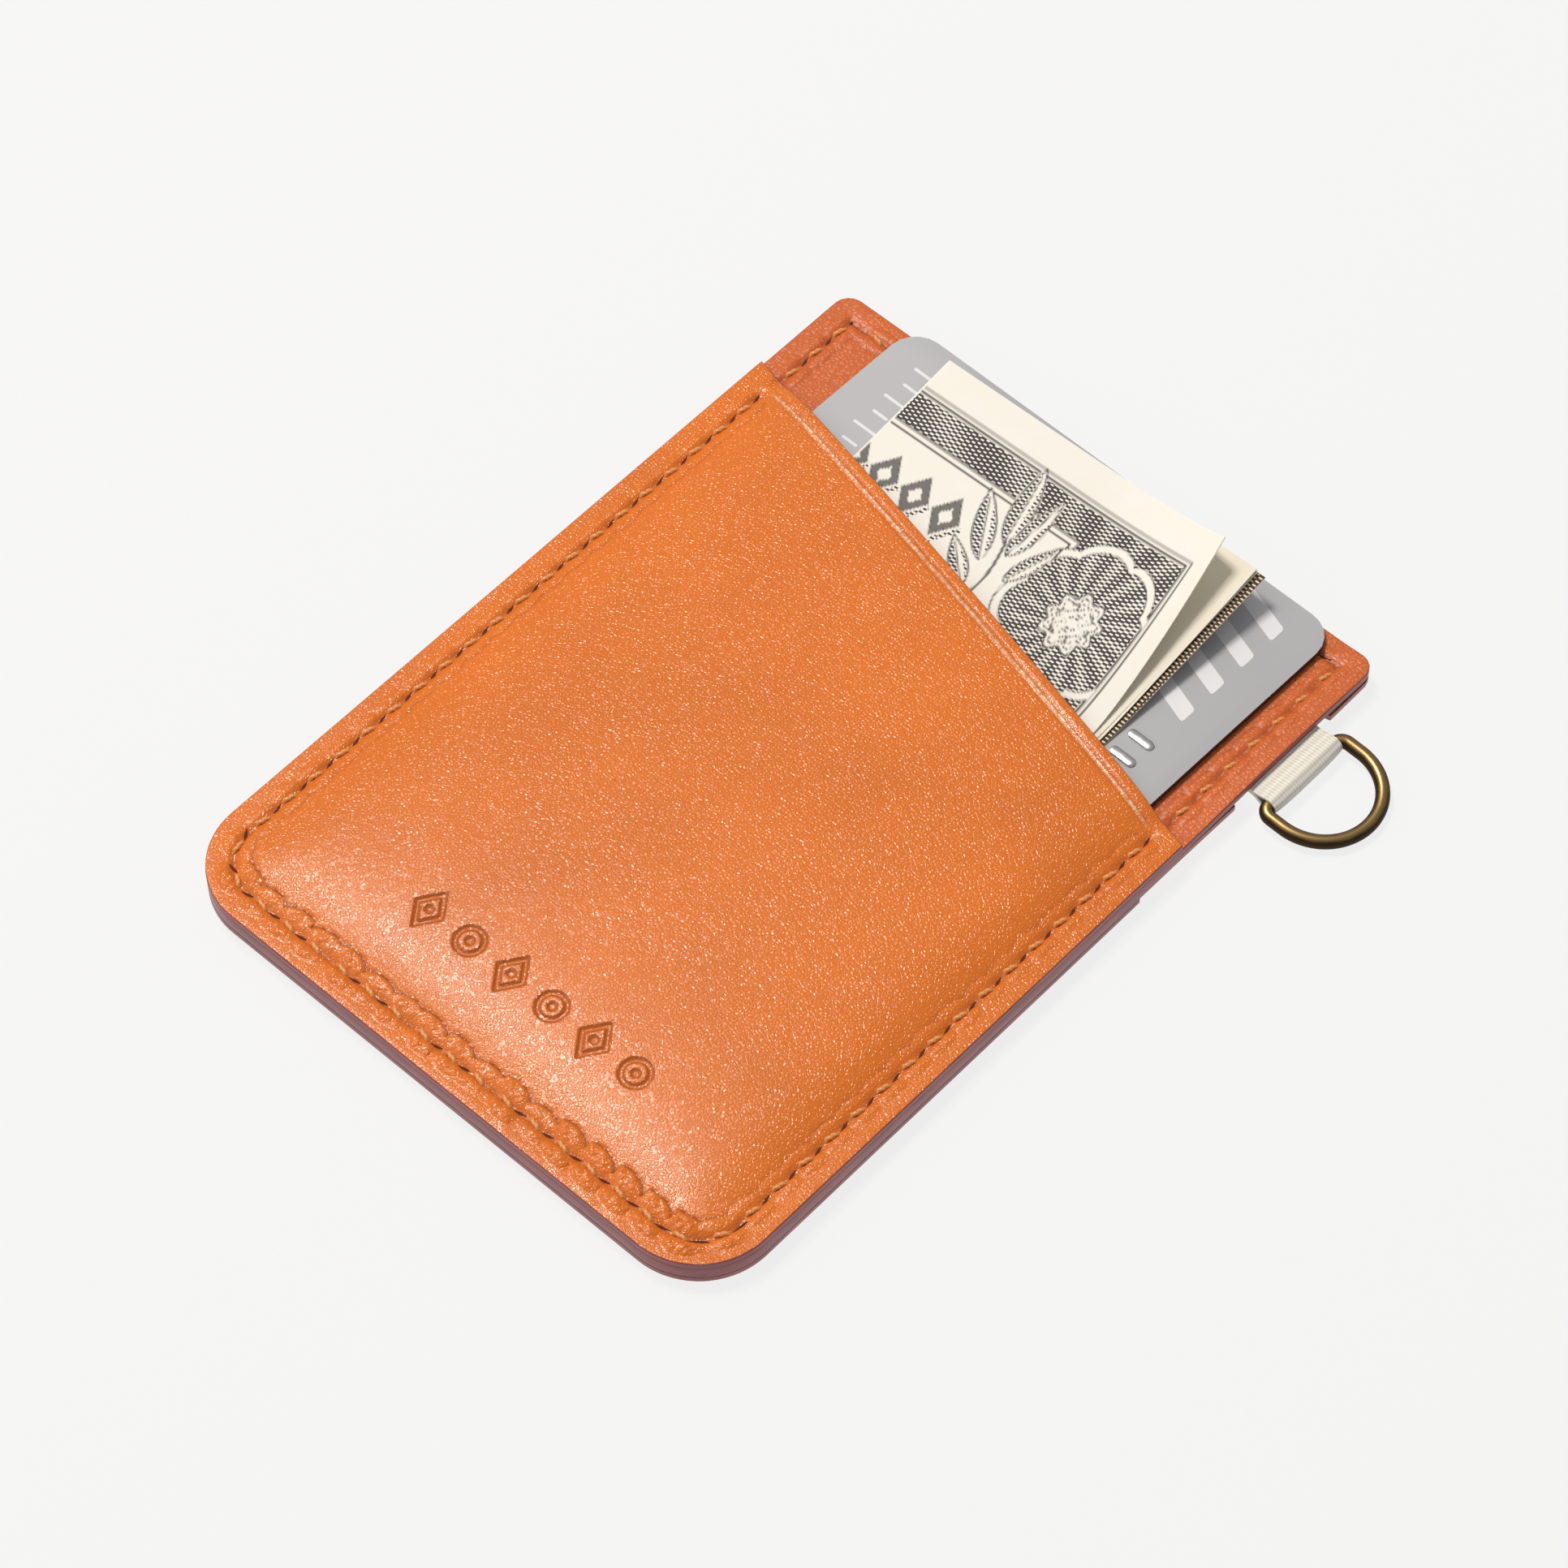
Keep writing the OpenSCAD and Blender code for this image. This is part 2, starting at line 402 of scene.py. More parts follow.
@dataclass(frozen=True)
class GrainLeather(Finish):
    """Vegetable-tanned calf, aniline dyed: warm uneven dye and a fine pebble that only gloss shows.

    Attributes:
        deep: Colour of the pores, pits and thin spots, sRGB hex.
        pale: Colour where a crease is rubbed, sRGB hex.
        grain: Size of a pebble in millimetres, drawn a little coarse so that it shows.
        relief: Height of the pebbles in millimetres.
        mottle: How much darker the pores between pebbles are, from 0 to 1.
        cloud: Size of the dye's clouds in millimetres.
        fibre: Size of the fibre bundles under the grain in millimetres.
        scratch: Spacing of the scratches on a rubbed crease in millimetres.
    """

    deep: str = "#7A2F10"
    pale: str = "#FBD9B4"
    grain: float = 0.42
    relief: float = 0.035
    mottle: float = 0.3
    cloud: float = 14.0
    fibre: float = 1.1
    scratch: float = 0.3

    def build(self) -> bpy.types.Material:
        """Make the material: dye clouds, pores, seam shading and pebble relief.

        Returns:
            The material.
        """
        material, add, shader = self.start()
        place = add("TexCoord").outputs["Object"]
        clouds, fibre = (
            add("TexNoise", {"Vector": place, "Scale": 1 / (size * MM), "Detail": detail, "Roughness": rough})
            for size, detail, rough in ((self.cloud, 3.0, 0.55), (self.fibre, 6.0, 0.7))
        )
        wander = add("TexNoise", {"Vector": place, "Scale": 1 / (self.grain * 2 * MM)}).outputs["Color"]
        shift = (self.grain * 0.9 * MM,) * 3
        bent = add("VectorMath", {0: wander, 1: shift, 2: place}, operation="MULTIPLY_ADD")
        cells = {"Vector": bent, "Scale": 1 / (self.grain * MM), "Randomness": 0.9}
        pebble = add("TexVoronoi", cells, feature="DISTANCE_TO_EDGE")
        walls = {"Value": pebble, "From Min": 0.02, "From Max": 0.3}
        pore = add("MapRange", walls, interpolation_type="SMOOTHSTEP")
        dye = add("ValToRGB", {"Fac": clouds})
        for stop, at, tone in zip(dye.color_ramp.elements, (0.3, 0.7), (0.86, 1.0)):
            stop.position, stop.color = at, linear(self.colour, tone)
        darker = add("MapRange", {"Value": pore, "To Min": self.mottle, "To Max": 0.0})
        blotch = add("Math", {0: fibre, 1: self.mottle * 0.9, 2: darker}, operation="MULTIPLY_ADD")
        grained = add("Mix", {"Factor": blotch, 6: dye, 7: linear(self.deep)}, data_type="RGBA").outputs[2]
        pit = add("Attribute", attribute_name="pit").outputs["Fac"]
        pierced = linear(self.deep, 0.35)
        sewn = add("Mix", {"Factor": pit, 6: grained, 7: pierced}, data_type="RGBA").outputs[2]
        # the crease's crown is burnished pale in fine scratches across it
        rubbed = add("Attribute", attribute_name="rub").outputs["Fac"]
        turned = add("Mapping", {"Vector": place, "Rotation": (0, 0, 1.3), "Scale": (1, 0.3, 1)})
        scratch = add("TexNoise", {"Vector": turned, "Scale": 1 / (self.scratch * MM)})
        bare = add("MapRange", {"Value": scratch, "From Min": 0.38, "From Max": 0.62, "To Min": 0.15})
        shown = add("Math", {0: bare, 1: rubbed}, operation="MULTIPLY")
        worn = add("Mix", {"Factor": shown, 6: sewn, 7: linear(self.pale)}, data_type="RGBA").outputs[2]
        height = add("Math", {0: fibre, 1: 0.22, 2: pore}, operation="MULTIPLY_ADD")
        relief = add("Bump", {"Strength": 1.0, "Distance": self.relief * MM, "Height": height})
        feed(shader, {"Base Color": worn, "Normal": relief, "IOR": 1.5, "Specular IOR Level": 0.5})
        return material


@dataclass(frozen=True)
class EdgePaint(Finish):
    """Acrylic edge paint, built up in coats and rubbed: a satin skin with faint lines along the layers."""

    def build(self) -> bpy.types.Material:
        """Make the material: slow tone changes and a low ripple along the edge.

        Returns:
            The material.
        """
        material, add, shader = self.start()
        place = add("TexCoord").outputs["Object"]
        flat = add("Mapping", {"Vector": place, "Scale": (1.0, 1.0, 7.0)})
        tone = add("TexNoise", {"Vector": flat, "Scale": 1 / (3.5 * MM), "Detail": 4.0})
        ramp = add("ValToRGB", {"Fac": tone})
        for stop, at, dim in zip(ramp.color_ramp.elements, (0.32, 0.68), (0.62, 1.0)):
            stop.position, stop.color = at, linear(self.colour, dim)
        bump = add("Bump", {"Strength": 0.6, "Distance": 0.05 * MM, "Height": tone})
        feed(shader, {"Base Color": ramp, "Normal": bump})
        return material


@dataclass(frozen=True)
class SewingThread(Finish):
    """Bonded polyester thread: twisted strands with a soft sheen, lighter where the twist is high."""

    def build(self) -> bpy.types.Material:
        """Make the material: strand shading from the twist and a fibre bump.

        Returns:
            The material.
        """
        material, add, shader = self.start()
        place = add("TexCoord").outputs["Object"]
        hair = add("TexNoise", {"Vector": place, "Scale": 1 / (0.18 * MM), "Detail": 2.0})
        strand = add("Attribute", attribute_name="strand").outputs["Fac"]
        tones = {6: linear(self.colour, 0.6, 0.42, 0.32), 7: linear(self.colour)}
        mix = add("Mix", {"Factor": strand, **tones}, data_type="RGBA").outputs[2]
        bump = add("Bump", {"Strength": 0.5, "Distance": 0.04 * MM, "Height": hair})
        feed(shader, {"Base Color": mix, "Normal": bump, "Sheen Weight": 0.1})
        return material


@dataclass(frozen=True)
class Grosgrain(Finish):
    """Woven rayon grosgrain: cords across the width, and fine warp yarns that run over them.

    Attributes:
        cord: Spacing of the cords in millimetres.
        warp: Spacing of the warp yarns in millimetres, drawn coarse enough to show.
    """

    cord: float = 0.85
    warp: float = 0.34

    def build(self) -> bpy.types.Material:
        """Make the material: warp yarns and cords drawn from the ribbon's own UV map.

        Returns:
            The material.
        """
        material, add, shader = self.start()
        place = add("SeparateXYZ", {"Vector": add("UVMap", uv_map="UVMap")}).outputs
        waves = []
        for axis, pitch, wave in (("Y", self.warp, "SINE"), ("X", self.cord, "COSINE")):
            turns = add("Math", {0: place[axis], 1: 2 * math.pi / (pitch * MM)}, operation="MULTIPLY")
            waves.append(add("Math", {0: turns}, operation=wave))
        both = add("Math", {0: waves[1], 1: 0.8, 2: waves[0]}, operation="MULTIPLY_ADD")
        bump = add("Bump", {"Strength": 0.8, "Distance": 0.03 * MM, "Height": both})
        tone = add("MapRange", {"Value": both, "From Min": -1.8, "From Max": 1.2})
        tones = {6: linear(self.colour, 0.78), 7: linear(self.colour)}
        mix = add("Mix", {"Factor": tone, **tones}, data_type="RGBA").outputs[2]
        feed(shader, {"Base Color": mix, "Normal": bump, "Sheen Weight": 0.4})
        return material


@dataclass(frozen=True)
class AntiqueBrass(Finish):
    """Brass wire, chemically darkened and then relieved: brown patina, rubbed gold along its crown.

    Attributes:
        patina: Colour of the patina, sRGB hex.
    """

    patina: str = "#3F3121"

    def build(self) -> bpy.types.Material:
        """Make the material: rubbed crown, patina in the rest and a trace of drawing lines.

        Returns:
            The material.
        """
        material, add, shader = self.start()
        place = add("TexCoord").outputs["Object"]
        stain = add("TexNoise", {"Vector": place, "Scale": 1 / (1.6 * MM), "Detail": 5.0, "Roughness": 0.65})
        rub = add("Attribute", attribute_name="rub").outputs["Fac"]
        worn = add("Math", {0: stain, 1: 0.55, 2: rub}, operation="MULTIPLY_ADD")
        bare = {"Value": worn, "From Min": 0.35, "From Max": 1.15}
        edge = add("MapRange", bare, interpolation_type="SMOOTHSTEP")
        tones = {6: linear(self.patina), 7: linear(self.colour)}
        mix = add("Mix", {"Factor": edge, **tones}, data_type="RGBA").outputs[2]
        rough = add("MapRange", {"Value": edge, "To Min": self.roughness + 0.2, "To Max": self.roughness})
        bump = add("Bump", {"Strength": 0.4, "Distance": 0.02 * MM, "Height": stain})
        feed(shader, {"Base Color": mix, "Roughness": rough, "Normal": bump, "Metallic": 1.0})
        return material


@dataclass(frozen=True)
class Laminate(Finish):
    """PVC card laminate: an even matt-satin film over fine print, with a faint stipple.

    Attributes:
        stipple: Height of the stipple in millimetres.
    """

    stipple: float = 0.006

    def build(self) -> bpy.types.Material:
        """Make the material: a breath of tone change and a platen stipple.

        Returns:
            The material.
        """
        material, add, shader = self.start()
        place = add("TexCoord").outputs["Object"]
        film, tint = (
            add("TexNoise", {"Vector": place, "Scale": 1 / (size * MM), "Detail": 2.0}) for size in (0.25, 22)
        )
        tones = {6: linear(self.colour, 0.92), 7: linear(self.colour, 1.05)}
        mix = add("Mix", {"Factor": tint, **tones}, data_type="RGBA").outputs[2]
        bump = add("Bump", {"Strength": 0.6, "Distance": self.stipple * MM, "Height": film})
        feed(shader, {"Base Color": mix, "Normal": bump, "Coat Weight": 0.25, "Coat Roughness": 0.3})
        return material


@dataclass(frozen=True)
class FoilMetal(Finish):
    """Hot foil and contact plating: a thin bright metal skin with hairline scuffs."""

    def build(self) -> bpy.types.Material:
        """Make the material: metal with fine scuffs in its gloss.

        Returns:
            The material.
        """
        material, add, shader = self.start()
        place = add("TexCoord").outputs["Object"]
        scuff = add("TexNoise", {"Vector": place, "Scale": 1 / (0.7 * MM), "Detail": 5.0})
        gloss = {"To Min": self.roughness - 0.1, "To Max": self.roughness + 0.2}
        rough = add("MapRange", {"Value": scuff, **gloss})
        feed(shader, {"Roughness": rough, "Metallic": 1.0})
        return material


@dataclass(frozen=True)
class NotePaper(Finish):
    """Cotton note paper with line engraving: soft cream stock, raised dark ink in fine lines.

    Attributes:
        ink: Colour of the engraving ink, sRGB hex.
        pitch: Spacing of the engraved lines in millimetres, drawn coarse enough to show.
        printed: True on the side that carries drawn marks.
        lattice: Amount of lattice everywhere, for a side with no drawn marks.
    """

    ink: str = "#3F393C"
    pitch: float = 0.42
    printed: bool = True
    lattice: float = 0.0

    def build(self) -> bpy.types.Material:
        """Make the material: paper tone, and the engraving if there is any.

        Returns:
            The material.
        """
        material, add, shader = self.start()
        place = add("TexCoord").outputs["Object"]
        pulp = add("TexNoise", {"Vector": place, "Scale": 1 / (5 * MM), "Detail": 6.0, "Roughness": 0.6})
        tones = {6: linear(self.colour, 0.96, 0.93, 0.84), 7: linear(self.colour)}
        shown = add("Mix", {"Factor": pulp, **tones}, data_type="RGBA").outputs[2]
        if self.printed or self.lattice > 0:
            shown = self.engrave(add, place, shown)
        bump = add("Bump", {"Strength": 0.4, "Distance": 0.04 * MM, "Height": pulp})
        feed(shader, {"Base Color": shown, "Normal": bump})
        return material

    def engrave(
        self, add: Adder, place: bpy.types.NodeSocket, paper: bpy.types.NodeSocket
    ) -> bpy.types.NodeSocket:
        """Lay ink over the paper: a lattice of two crossed sets of wavy lines, and solid lines.

        Args:
            add: Function that adds a node.
            place: Socket that gives the place on the note.
            paper: Socket that gives the paper's colour.

        Returns:
            The socket that gives the colour of both.
        """
        lines = []
        scale = (1 / (self.pitch * MM),) * 3
        for turn in (1.15, 1.95):
            laid = add("Mapping", {"Vector": place, "Rotation": (0, 0, turn), "Scale": scale})
            wave = {"Vector": laid, "Scale": 0.314, "Distortion": 2.2, "Detail": 1.0, "Detail Scale": 0.35}
            lines.append(add("TexWave", wave).outputs["Fac"])
        net = add("Math", {0: lines[0], 1: lines[1]}, operation="ADD")
        where = add("Attribute", attribute_name="lattice").outputs["Fac"] if self.printed else self.lattice
        limit = add("Math", {0: net, 1: where, 2: -0.55}, operation="MULTIPLY_ADD")
        drawn = add("MapRange", {"Value": limit, "From Min": -0.15, "From Max": 0.25})
        if self.printed:
            solid = add("Attribute", attribute_name="ink").outputs["Fac"]
            drawn = add("Math", {0: drawn, 1: solid}, operation="MAXIMUM", use_clamp=True)
        return add("Mix", {"Factor": drawn, 6: paper, 7: linear(self.ink)}, data_type="RGBA").outputs[2]


SMOOTH_GRAIN = {"deep": "#B0480E", "grain": 0.34, "relief": 0.026, "mottle": 0.2}
PANEL_GRAIN = {"deep": "#A04014", "grain": 0.5, "relief": 0.022, "mottle": 0.3}
FLESH_NAP = {"deep": "#8A4B26", "grain": 0.6, "relief": 0.05, "mottle": 0.3}
POCKET_CALF = GrainLeather("pocket_calf_smooth", "#EF8026", 0.25, **SMOOTH_GRAIN)
PANEL_CALF = GrainLeather("panel_calf_grained", "#EA7634", 0.4, **PANEL_GRAIN)
FLESH_SIDE = GrainLeather("calf_flesh_side", "#B9713F", 0.85, **FLESH_NAP)
BURGUNDY_EDGE = EdgePaint("burgundy_edge_paint", "#9A484C", 0.33)
TAN_THREAD = SewingThread("tan_bonded_thread", "#F6AC66", 0.38)
NEEDLE_HOLE = Finish("pierced_leather_shadow", "#5C1E09", 0.9)
IVORY_RIBBON = Grosgrain("ivory_grosgrain", "#F8F3E7", 0.6)
RELIEVED_BRASS = AntiqueBrass("relieved_antique_brass", "#A88A5C", 0.34)
GREY_LAMINATE = Laminate("grey_card_laminate", "#BABBC0", 0.42)
CARD_CORE = Laminate("black_card_core", "#1B1A1D", 0.5)
WHITE_PRINT = Laminate("white_card_print", "#EAEBEF", 0.4)
SILVER_TIP = FoilMetal("silver_tipping_foil", "#C9C9CC", 0.3)
GOLD_CONTACT = FoilMetal("gold_contact_plating", "#D9B56A", 0.25)
NOTE_FACE = NotePaper("engraved_note_paper", "#F4F2EF", 0.8)
NOTE_PLAIN = NotePaper("plain_note_paper", "#F3EEE2", 0.8, printed=False)
NOTE_BACK = NotePaper("lattice_note_paper", "#EDE0C6", 0.8, printed=False, ink="#46311F", lattice=0.9)


# --------------------------------------------------------------------------- leather body


@dataclass(frozen=True)
class Mouth:
    """Slant mouth of a pocket.

    Attributes:
        height: Height on the centre line.
        slope: Degrees that it falls towards the ring side.
    """

    height: float
    slope: float

    def y(self, x: np.ndarray) -> np.ndarray:
        """Give the mouth's height at each x."""
        return self.height - x * math.tan(math.radians(self.slope))


@dataclass(frozen=True)
class Stitch:
    """One stitch.

    Attributes:
        x: Its middle across.
        y: Its middle along.
        angle: The angle that it lies at, in radians.
    """

    x: float
    y: float
    angle: float


def stitches_of(node: bpy.types.Object) -> list[Stitch]:
    """Find each bar of thread in a CAD node.

    Args:
        node: The CAD node, a mesh of loose triangles.

    Returns:
        One entry for each bar.
    """
    work = bmesh.new()
    work.from_mesh(node.data)
    bmesh.ops.remove_doubles(work, verts=work.verts, dist=1e-6)
    left, found = set(work.verts), []
    while left:
        island, edge = set(), [left.pop()]
        while edge:
            vert = edge.pop()
            island.add(vert)
            for other in (e.other_vert(vert) for e in vert.link_edges):
                if other in left:
                    left.remove(other)
                    edge.append(other)
        co = np.array([v.co for v in island]) / MM
        middle = (co.min(0) + co.max(0)) / 2
        spread = np.linalg.eigh(np.cov((co - middle)[:, :2].T))[1][:, -1]
        found.append(Stitch(middle[0], middle[1], math.atan2(spread[1], spread[0]) % math.pi))
    work.free()
    return sorted(found, key=lambda s: (s.x, s.y))


@dataclass
class Seam:
    """The seam round the body, with what it does to the leather beside it.

    Attributes:
        half_x: Half its width.
        low: Its bottom run.
        high: Its top run.
        radius: Radius at the bottom corners.
        pitch: Length from stitch to stitch.
        stitches: Every stitch on this face.
        spread: How far from the seam the leather still feels it.
        bed: Depth of the groove that the thread lies in.
        hole: Further depth at a needle hole.
    """

    half_x: float
    low: float
    high: float
    radius: float
    pitch: float
    stitches: list[Stitch]
    spread: float = 2.6
    bed: float = 0.14
    hole: float = 0.12

    def inside(self, x: np.ndarray, y: np.ndarray, open_top: bool = False) -> np.ndarray:
        """Measure how far each point lies inside the seam.

        Args:
            x: Place across.
            y: Place along.
            open_top: True to leave the top run out.

        Returns:
            The distance in millimetres, negative outside the seam.
        """
        r = self.radius
        a, b = np.abs(x) - (self.half_x - r), (self.low + r) - y
        corner = r - np.hypot(np.maximum(a, 0), np.maximum(b, 0))
        straight = np.minimum(self.half_x - np.abs(x), y - self.low)
        depth = np.where((a > 0) & (b > 0), corner, straight)
        return depth if open_top else np.minimum(depth, self.high - y)

    def pull(self, x: np.ndarray, y: np.ndarray) -> tuple[np.ndarray, np.ndarray]:
        """Give how far the stitches raise or sink the leather, and how dark a needle pit is there.

        Args:
            x: Place across.
            y: Place along.

        Returns:
            Height change in millimetres, outwards, and a darkness from 0 to 1.
        """
        depth = self.inside(x, y)
        near = np.abs(depth) < self.spread
        rise, dark = np.zeros(len(x)), np.zeros(len(x))
        if not near.any() or not self.stitches:
            return rise, dark
        px, py, q = x[near], y[near], depth[near]
        spots = np.array([(s.x, s.y, s.angle) for s in self.stitches])
        best = np.argmin((px[:, None] - spots[:, 0]) ** 2 + (py[:, None] - spots[:, 1]) ** 2, axis=1)
        sx, sy, sa = spots[best].T
        along = (px - sx) * np.cos(sa) + (py - sy) * np.sin(sa)
        reach = np.clip(1.6 - (np.abs(along) - self.pitch / 2), 0, 1)
        # uneven hand of the machine: each stitch pulls a little differently
        odd = np.modf(np.abs(np.sin(sx * 12.9898 + sy * 78.233) * 437.5))[0]
        # the bottom run is sewn tightest, so the leather stands in lumps beside it
        tight = 0.45 + 0.55 * smooth((self.low + self.radius + 0.5 - py) / 3.5)
        bed = -self.bed * bell(q, 0.4) - self.bed / 2 * bell(q, 1.4)
        # one lump inside the seam and one outside it, skewed and folded by the stitch's own pull
        deep_in, deep_out = 0.45 + (0.4 + 0.25 * odd) * tight, 0.42 + (0.26 + 0.22 * odd) * tight
        skew = 0.35 * (q - 0.6) + 0.4 * (odd - 0.5)
        far_in = np.hypot((along + skew) / (0.6 * self.pitch), (q - deep_in - 0.1) / deep_in)
        far_out = np.hypot((along + skew) / (0.56 * self.pitch), (q + deep_out + 0.1) / deep_out)
        ripple = np.sin(along * 4.3 + q * 3.3 + 9 * odd) + np.sin(along * 8.1 - q * 5.7 + 23 * odd)
        fold = 1 + 0.24 * ripple * tight
        inner = (0.15 + 0.14 * odd) * tight * fold * np.clip(1 - far_in**2, 0, 1) ** 0.75
        outer = (0.18 + 0.15 * odd) * tight * fold * np.clip(1 - far_out**2, 0, 1) ** 0.75
        rim = bell(far_in - 1.03, 0.12) * (q > 0.9)
        pit = np.exp(-(((np.abs(along) - self.pitch / 2) / 0.5) ** 2) - (q / 0.28) ** 2)
        rise[near] = (bed + inner + outer - 0.08 * tight * rim - self.hole * pit) * reach
        dark[near] = np.clip(0.25 * pit + 0.25 * bell(q, 0.26) + 0.7 * tight * rim, 0, 1) * reach
        return rise, dark


@dataclass
class Panel:
    """One leather panel of the body, cut, thickened, edge painted and sewn.

    Attributes:
        name: Name of the piece.
        node: CAD node that it stands for.
        side: Which way its grain faces.
        half_w: Half its width.
        low_y: Its bottom edge.
        high_y: Its top edge, or its mouth's height on the centre line.
        face_z: Height of its grain side at the seam.
        thickness: Leather thickness.
        corner_r: Radius of its bottom corners.
        top_r: Radius of its top corners, where it has them.
        grain: Finish of the grain side.
        seam: The seam that holds it.
        mouth: Its slant mouth, if it is a pocket.
        cell: Grid cell of the blank.
        rounding: How far its edges are rounded.
        crease: How deep the heat crease is pressed.
        lip: How far the leather stands up beside the crease.
        piece: Its mesh, once it is cut.
    """

    name: str
    node: str
    side: Side
    half_w: float
    low_y: float
    high_y: float
    face_z: float
    thickness: float
    corner_r: float
    top_r: float
    grain: GrainLeather
    seam: Seam
    mouth: Mouth | None = None
    cell: float = 0.8
    rounding: float = 0.16
    crease: float = 0.12
    lip: float = 0.09
    piece: bpy.types.Object | None = None

    def rows(self) -> np.ndarray:
        """Give the blank's rows."""
        return spaced([self.low_y, self.high_y], [self.cell])

    def round_corner(self, x: np.ndarray, out: np.ndarray, reach: float, r: float) -> tuple[Points, Points]:
        """Bend the square corners of a blank to arcs.

        Args:
            x: Place across the panel.
            out: Place outwards along the panel.
            reach: Where the panel ends, outwards.
            r: Radius of the arc.

        Returns:
            The new places across and outwards.
        """
        cx, cy = self.half_w - r, reach - r
        a = np.clip((np.abs(x) - cx) / r, 0, 1)
        b = np.clip((out - cy) / r, 0, 1)
        both = (a > 0) & (b > 0)
        new_x = np.where(both, np.sign(x) * (cx + r * a * np.sqrt(1 - b * b / 2)), x)
        new_out = np.where(both, cy + r * b * np.sqrt(1 - a * a / 2), out)
        return new_x, new_out

    def cut(self) -> None:
        """Cut the blank to its outline."""
        self.piece = grid(self.name, spaced([-self.half_w, self.half_w], [self.cell]), self.rows())
        points = read(self.piece)
        x, y = points[:, 0], points[:, 1]
        x, out = self.round_corner(x, -y, -self.low_y, self.corner_r)
        y = -out
        if self.mouth:
            start = self.low_y + self.corner_r
            t = np.clip((y - start) / (self.high_y - start), 0, None)
            y = np.where(y > start, start + t * (self.mouth.y(x) - start), y)
        else:
            x, y = self.round_corner(x, y, self.high_y, self.top_r)
        write(self.piece, self.bow(np.column_stack([x, y, np.full(len(x), self.face_z)])))
        if self.side is Side.BACK:
            with editing(self.piece, lambda c, n: n[:, 2] > 0):
                bpy.ops.mesh.flip_normals()

    def bow(self, points: Points) -> Points:
        """Shape the flat blank before it is thickened; a plain panel stays flat."""
        return points

    def thicken(self) -> None:
        """Give the blank its thickness, and round its cut edges."""
        wear(self.piece, self.grain, BURGUNDY_EDGE, FLESH_SIDE)
        inwards = {"thickness": self.thickness * MM, "offset": -1, "use_even_offset": True}
        finish_with(self.piece, "SOLIDIFY", **inwards, material_offset=2, material_offset_rim=1)
        with editing(self.piece, lambda c, n: self.outward(n)):
            soften(self.rounding, 3, profile=0.6, clamp_overlap=False)
        paint_faces(self.piece, self.cut_edge, 1)

    def cut_edge(self, centres: Points, normals: Points) -> np.ndarray:
        """Tell which faces carry edge paint: the cut edge, but not the turned-over lip of a mouth.

        Args:
            centres: Middles of the faces.
            normals: Normals of the faces.

        Returns:
            One bool for each face.
        """
        painted = np.abs(normals[:, 2]) < 0.86
        if self.mouth:
            at_mouth = np.abs(self.mouth.y(centres[:, 0]) - centres[:, 1]) < 0.5
            painted &= ~(at_mouth & (np.abs(centres[:, 0]) < self.half_w - 0.3))
        return painted

    def outward(self, normals: np.ndarray) -> np.ndarray:
        """Tell which faces lie on the grain side."""
        return normals[:, 2] * self.side.value > 0.5

    def covered(self, x: np.ndarray, y: np.ndarray) -> np.ndarray:
        """Tell which places another panel covers, where no seam shows."""
        return np.zeros(len(x), bool)

    def refine(self) -> None:
        """Cut the mesh finer where the seam runs and where the mouth is creased."""

        def wanted(c: Points, n: Points) -> np.ndarray:
            """Tell which faces carry fine detail.

            Args:
                c: Middles of the faces.
                n: Their normals.

            Returns:
                One bool for each face.
            """
            depth = self.seam.inside(c[:, 0], c[:, 1])
            near = (depth > -2.0) & (depth < 3.0)
            if self.mouth:
                near |= self.mouth.y(c[:, 0]) - c[:, 1] < 3.0
            return near & self.outward(n) & ~self.covered(c[:, 0], c[:, 1]) & (self.edge_gap(c) > 0.5)

        with editing(self.piece, wanted):
            bpy.ops.mesh.subdivide(number_cuts=3)

    def edge_gap(self, points: Points) -> np.ndarray:
        """Measure roughly how far points lie from the panel's outer edge.

        Args:
            points: The points.

        Returns:
            The distances in millimetres.
        """
        x, y = points[:, 0], points[:, 1]
        top = self.mouth.y(x) if self.mouth else np.full(len(x), self.high_y)
        return np.minimum(np.minimum(self.half_w - np.abs(x), y - self.low_y), top - y)

    def press(self) -> None:
        """Pull the seam in and press the creases, and note where the leather is dark."""
        points = read(self.piece)
        normals = np.empty(len(points) * 3)
        self.piece.data.vertices.foreach_get("normal", normals)
        shown = normals.reshape(-1, 3)[:, 2] * self.side.value > 0.5
        x, y = points[:, 0], points[:, 1]
        rise, dark = (value * ~self.covered(x, y) for value in self.seam.pull(x, y))
        if self.side is Side.BACK:
            # it lies on the table, so nothing stands out of it
            rise = np.minimum(rise, 0.03)
        more, shade_more, rub = self.tooling(x, y)
        points[:, 2] += np.where(shown, rise + more, 0) * self.side.value
        note_value(self.piece, "pit", np.where(shown, np.clip(dark + shade_more, 0, 1), 0))
        note_value(self.piece, "rub", np.where(shown, rub, 0))
        write(self.piece, points)

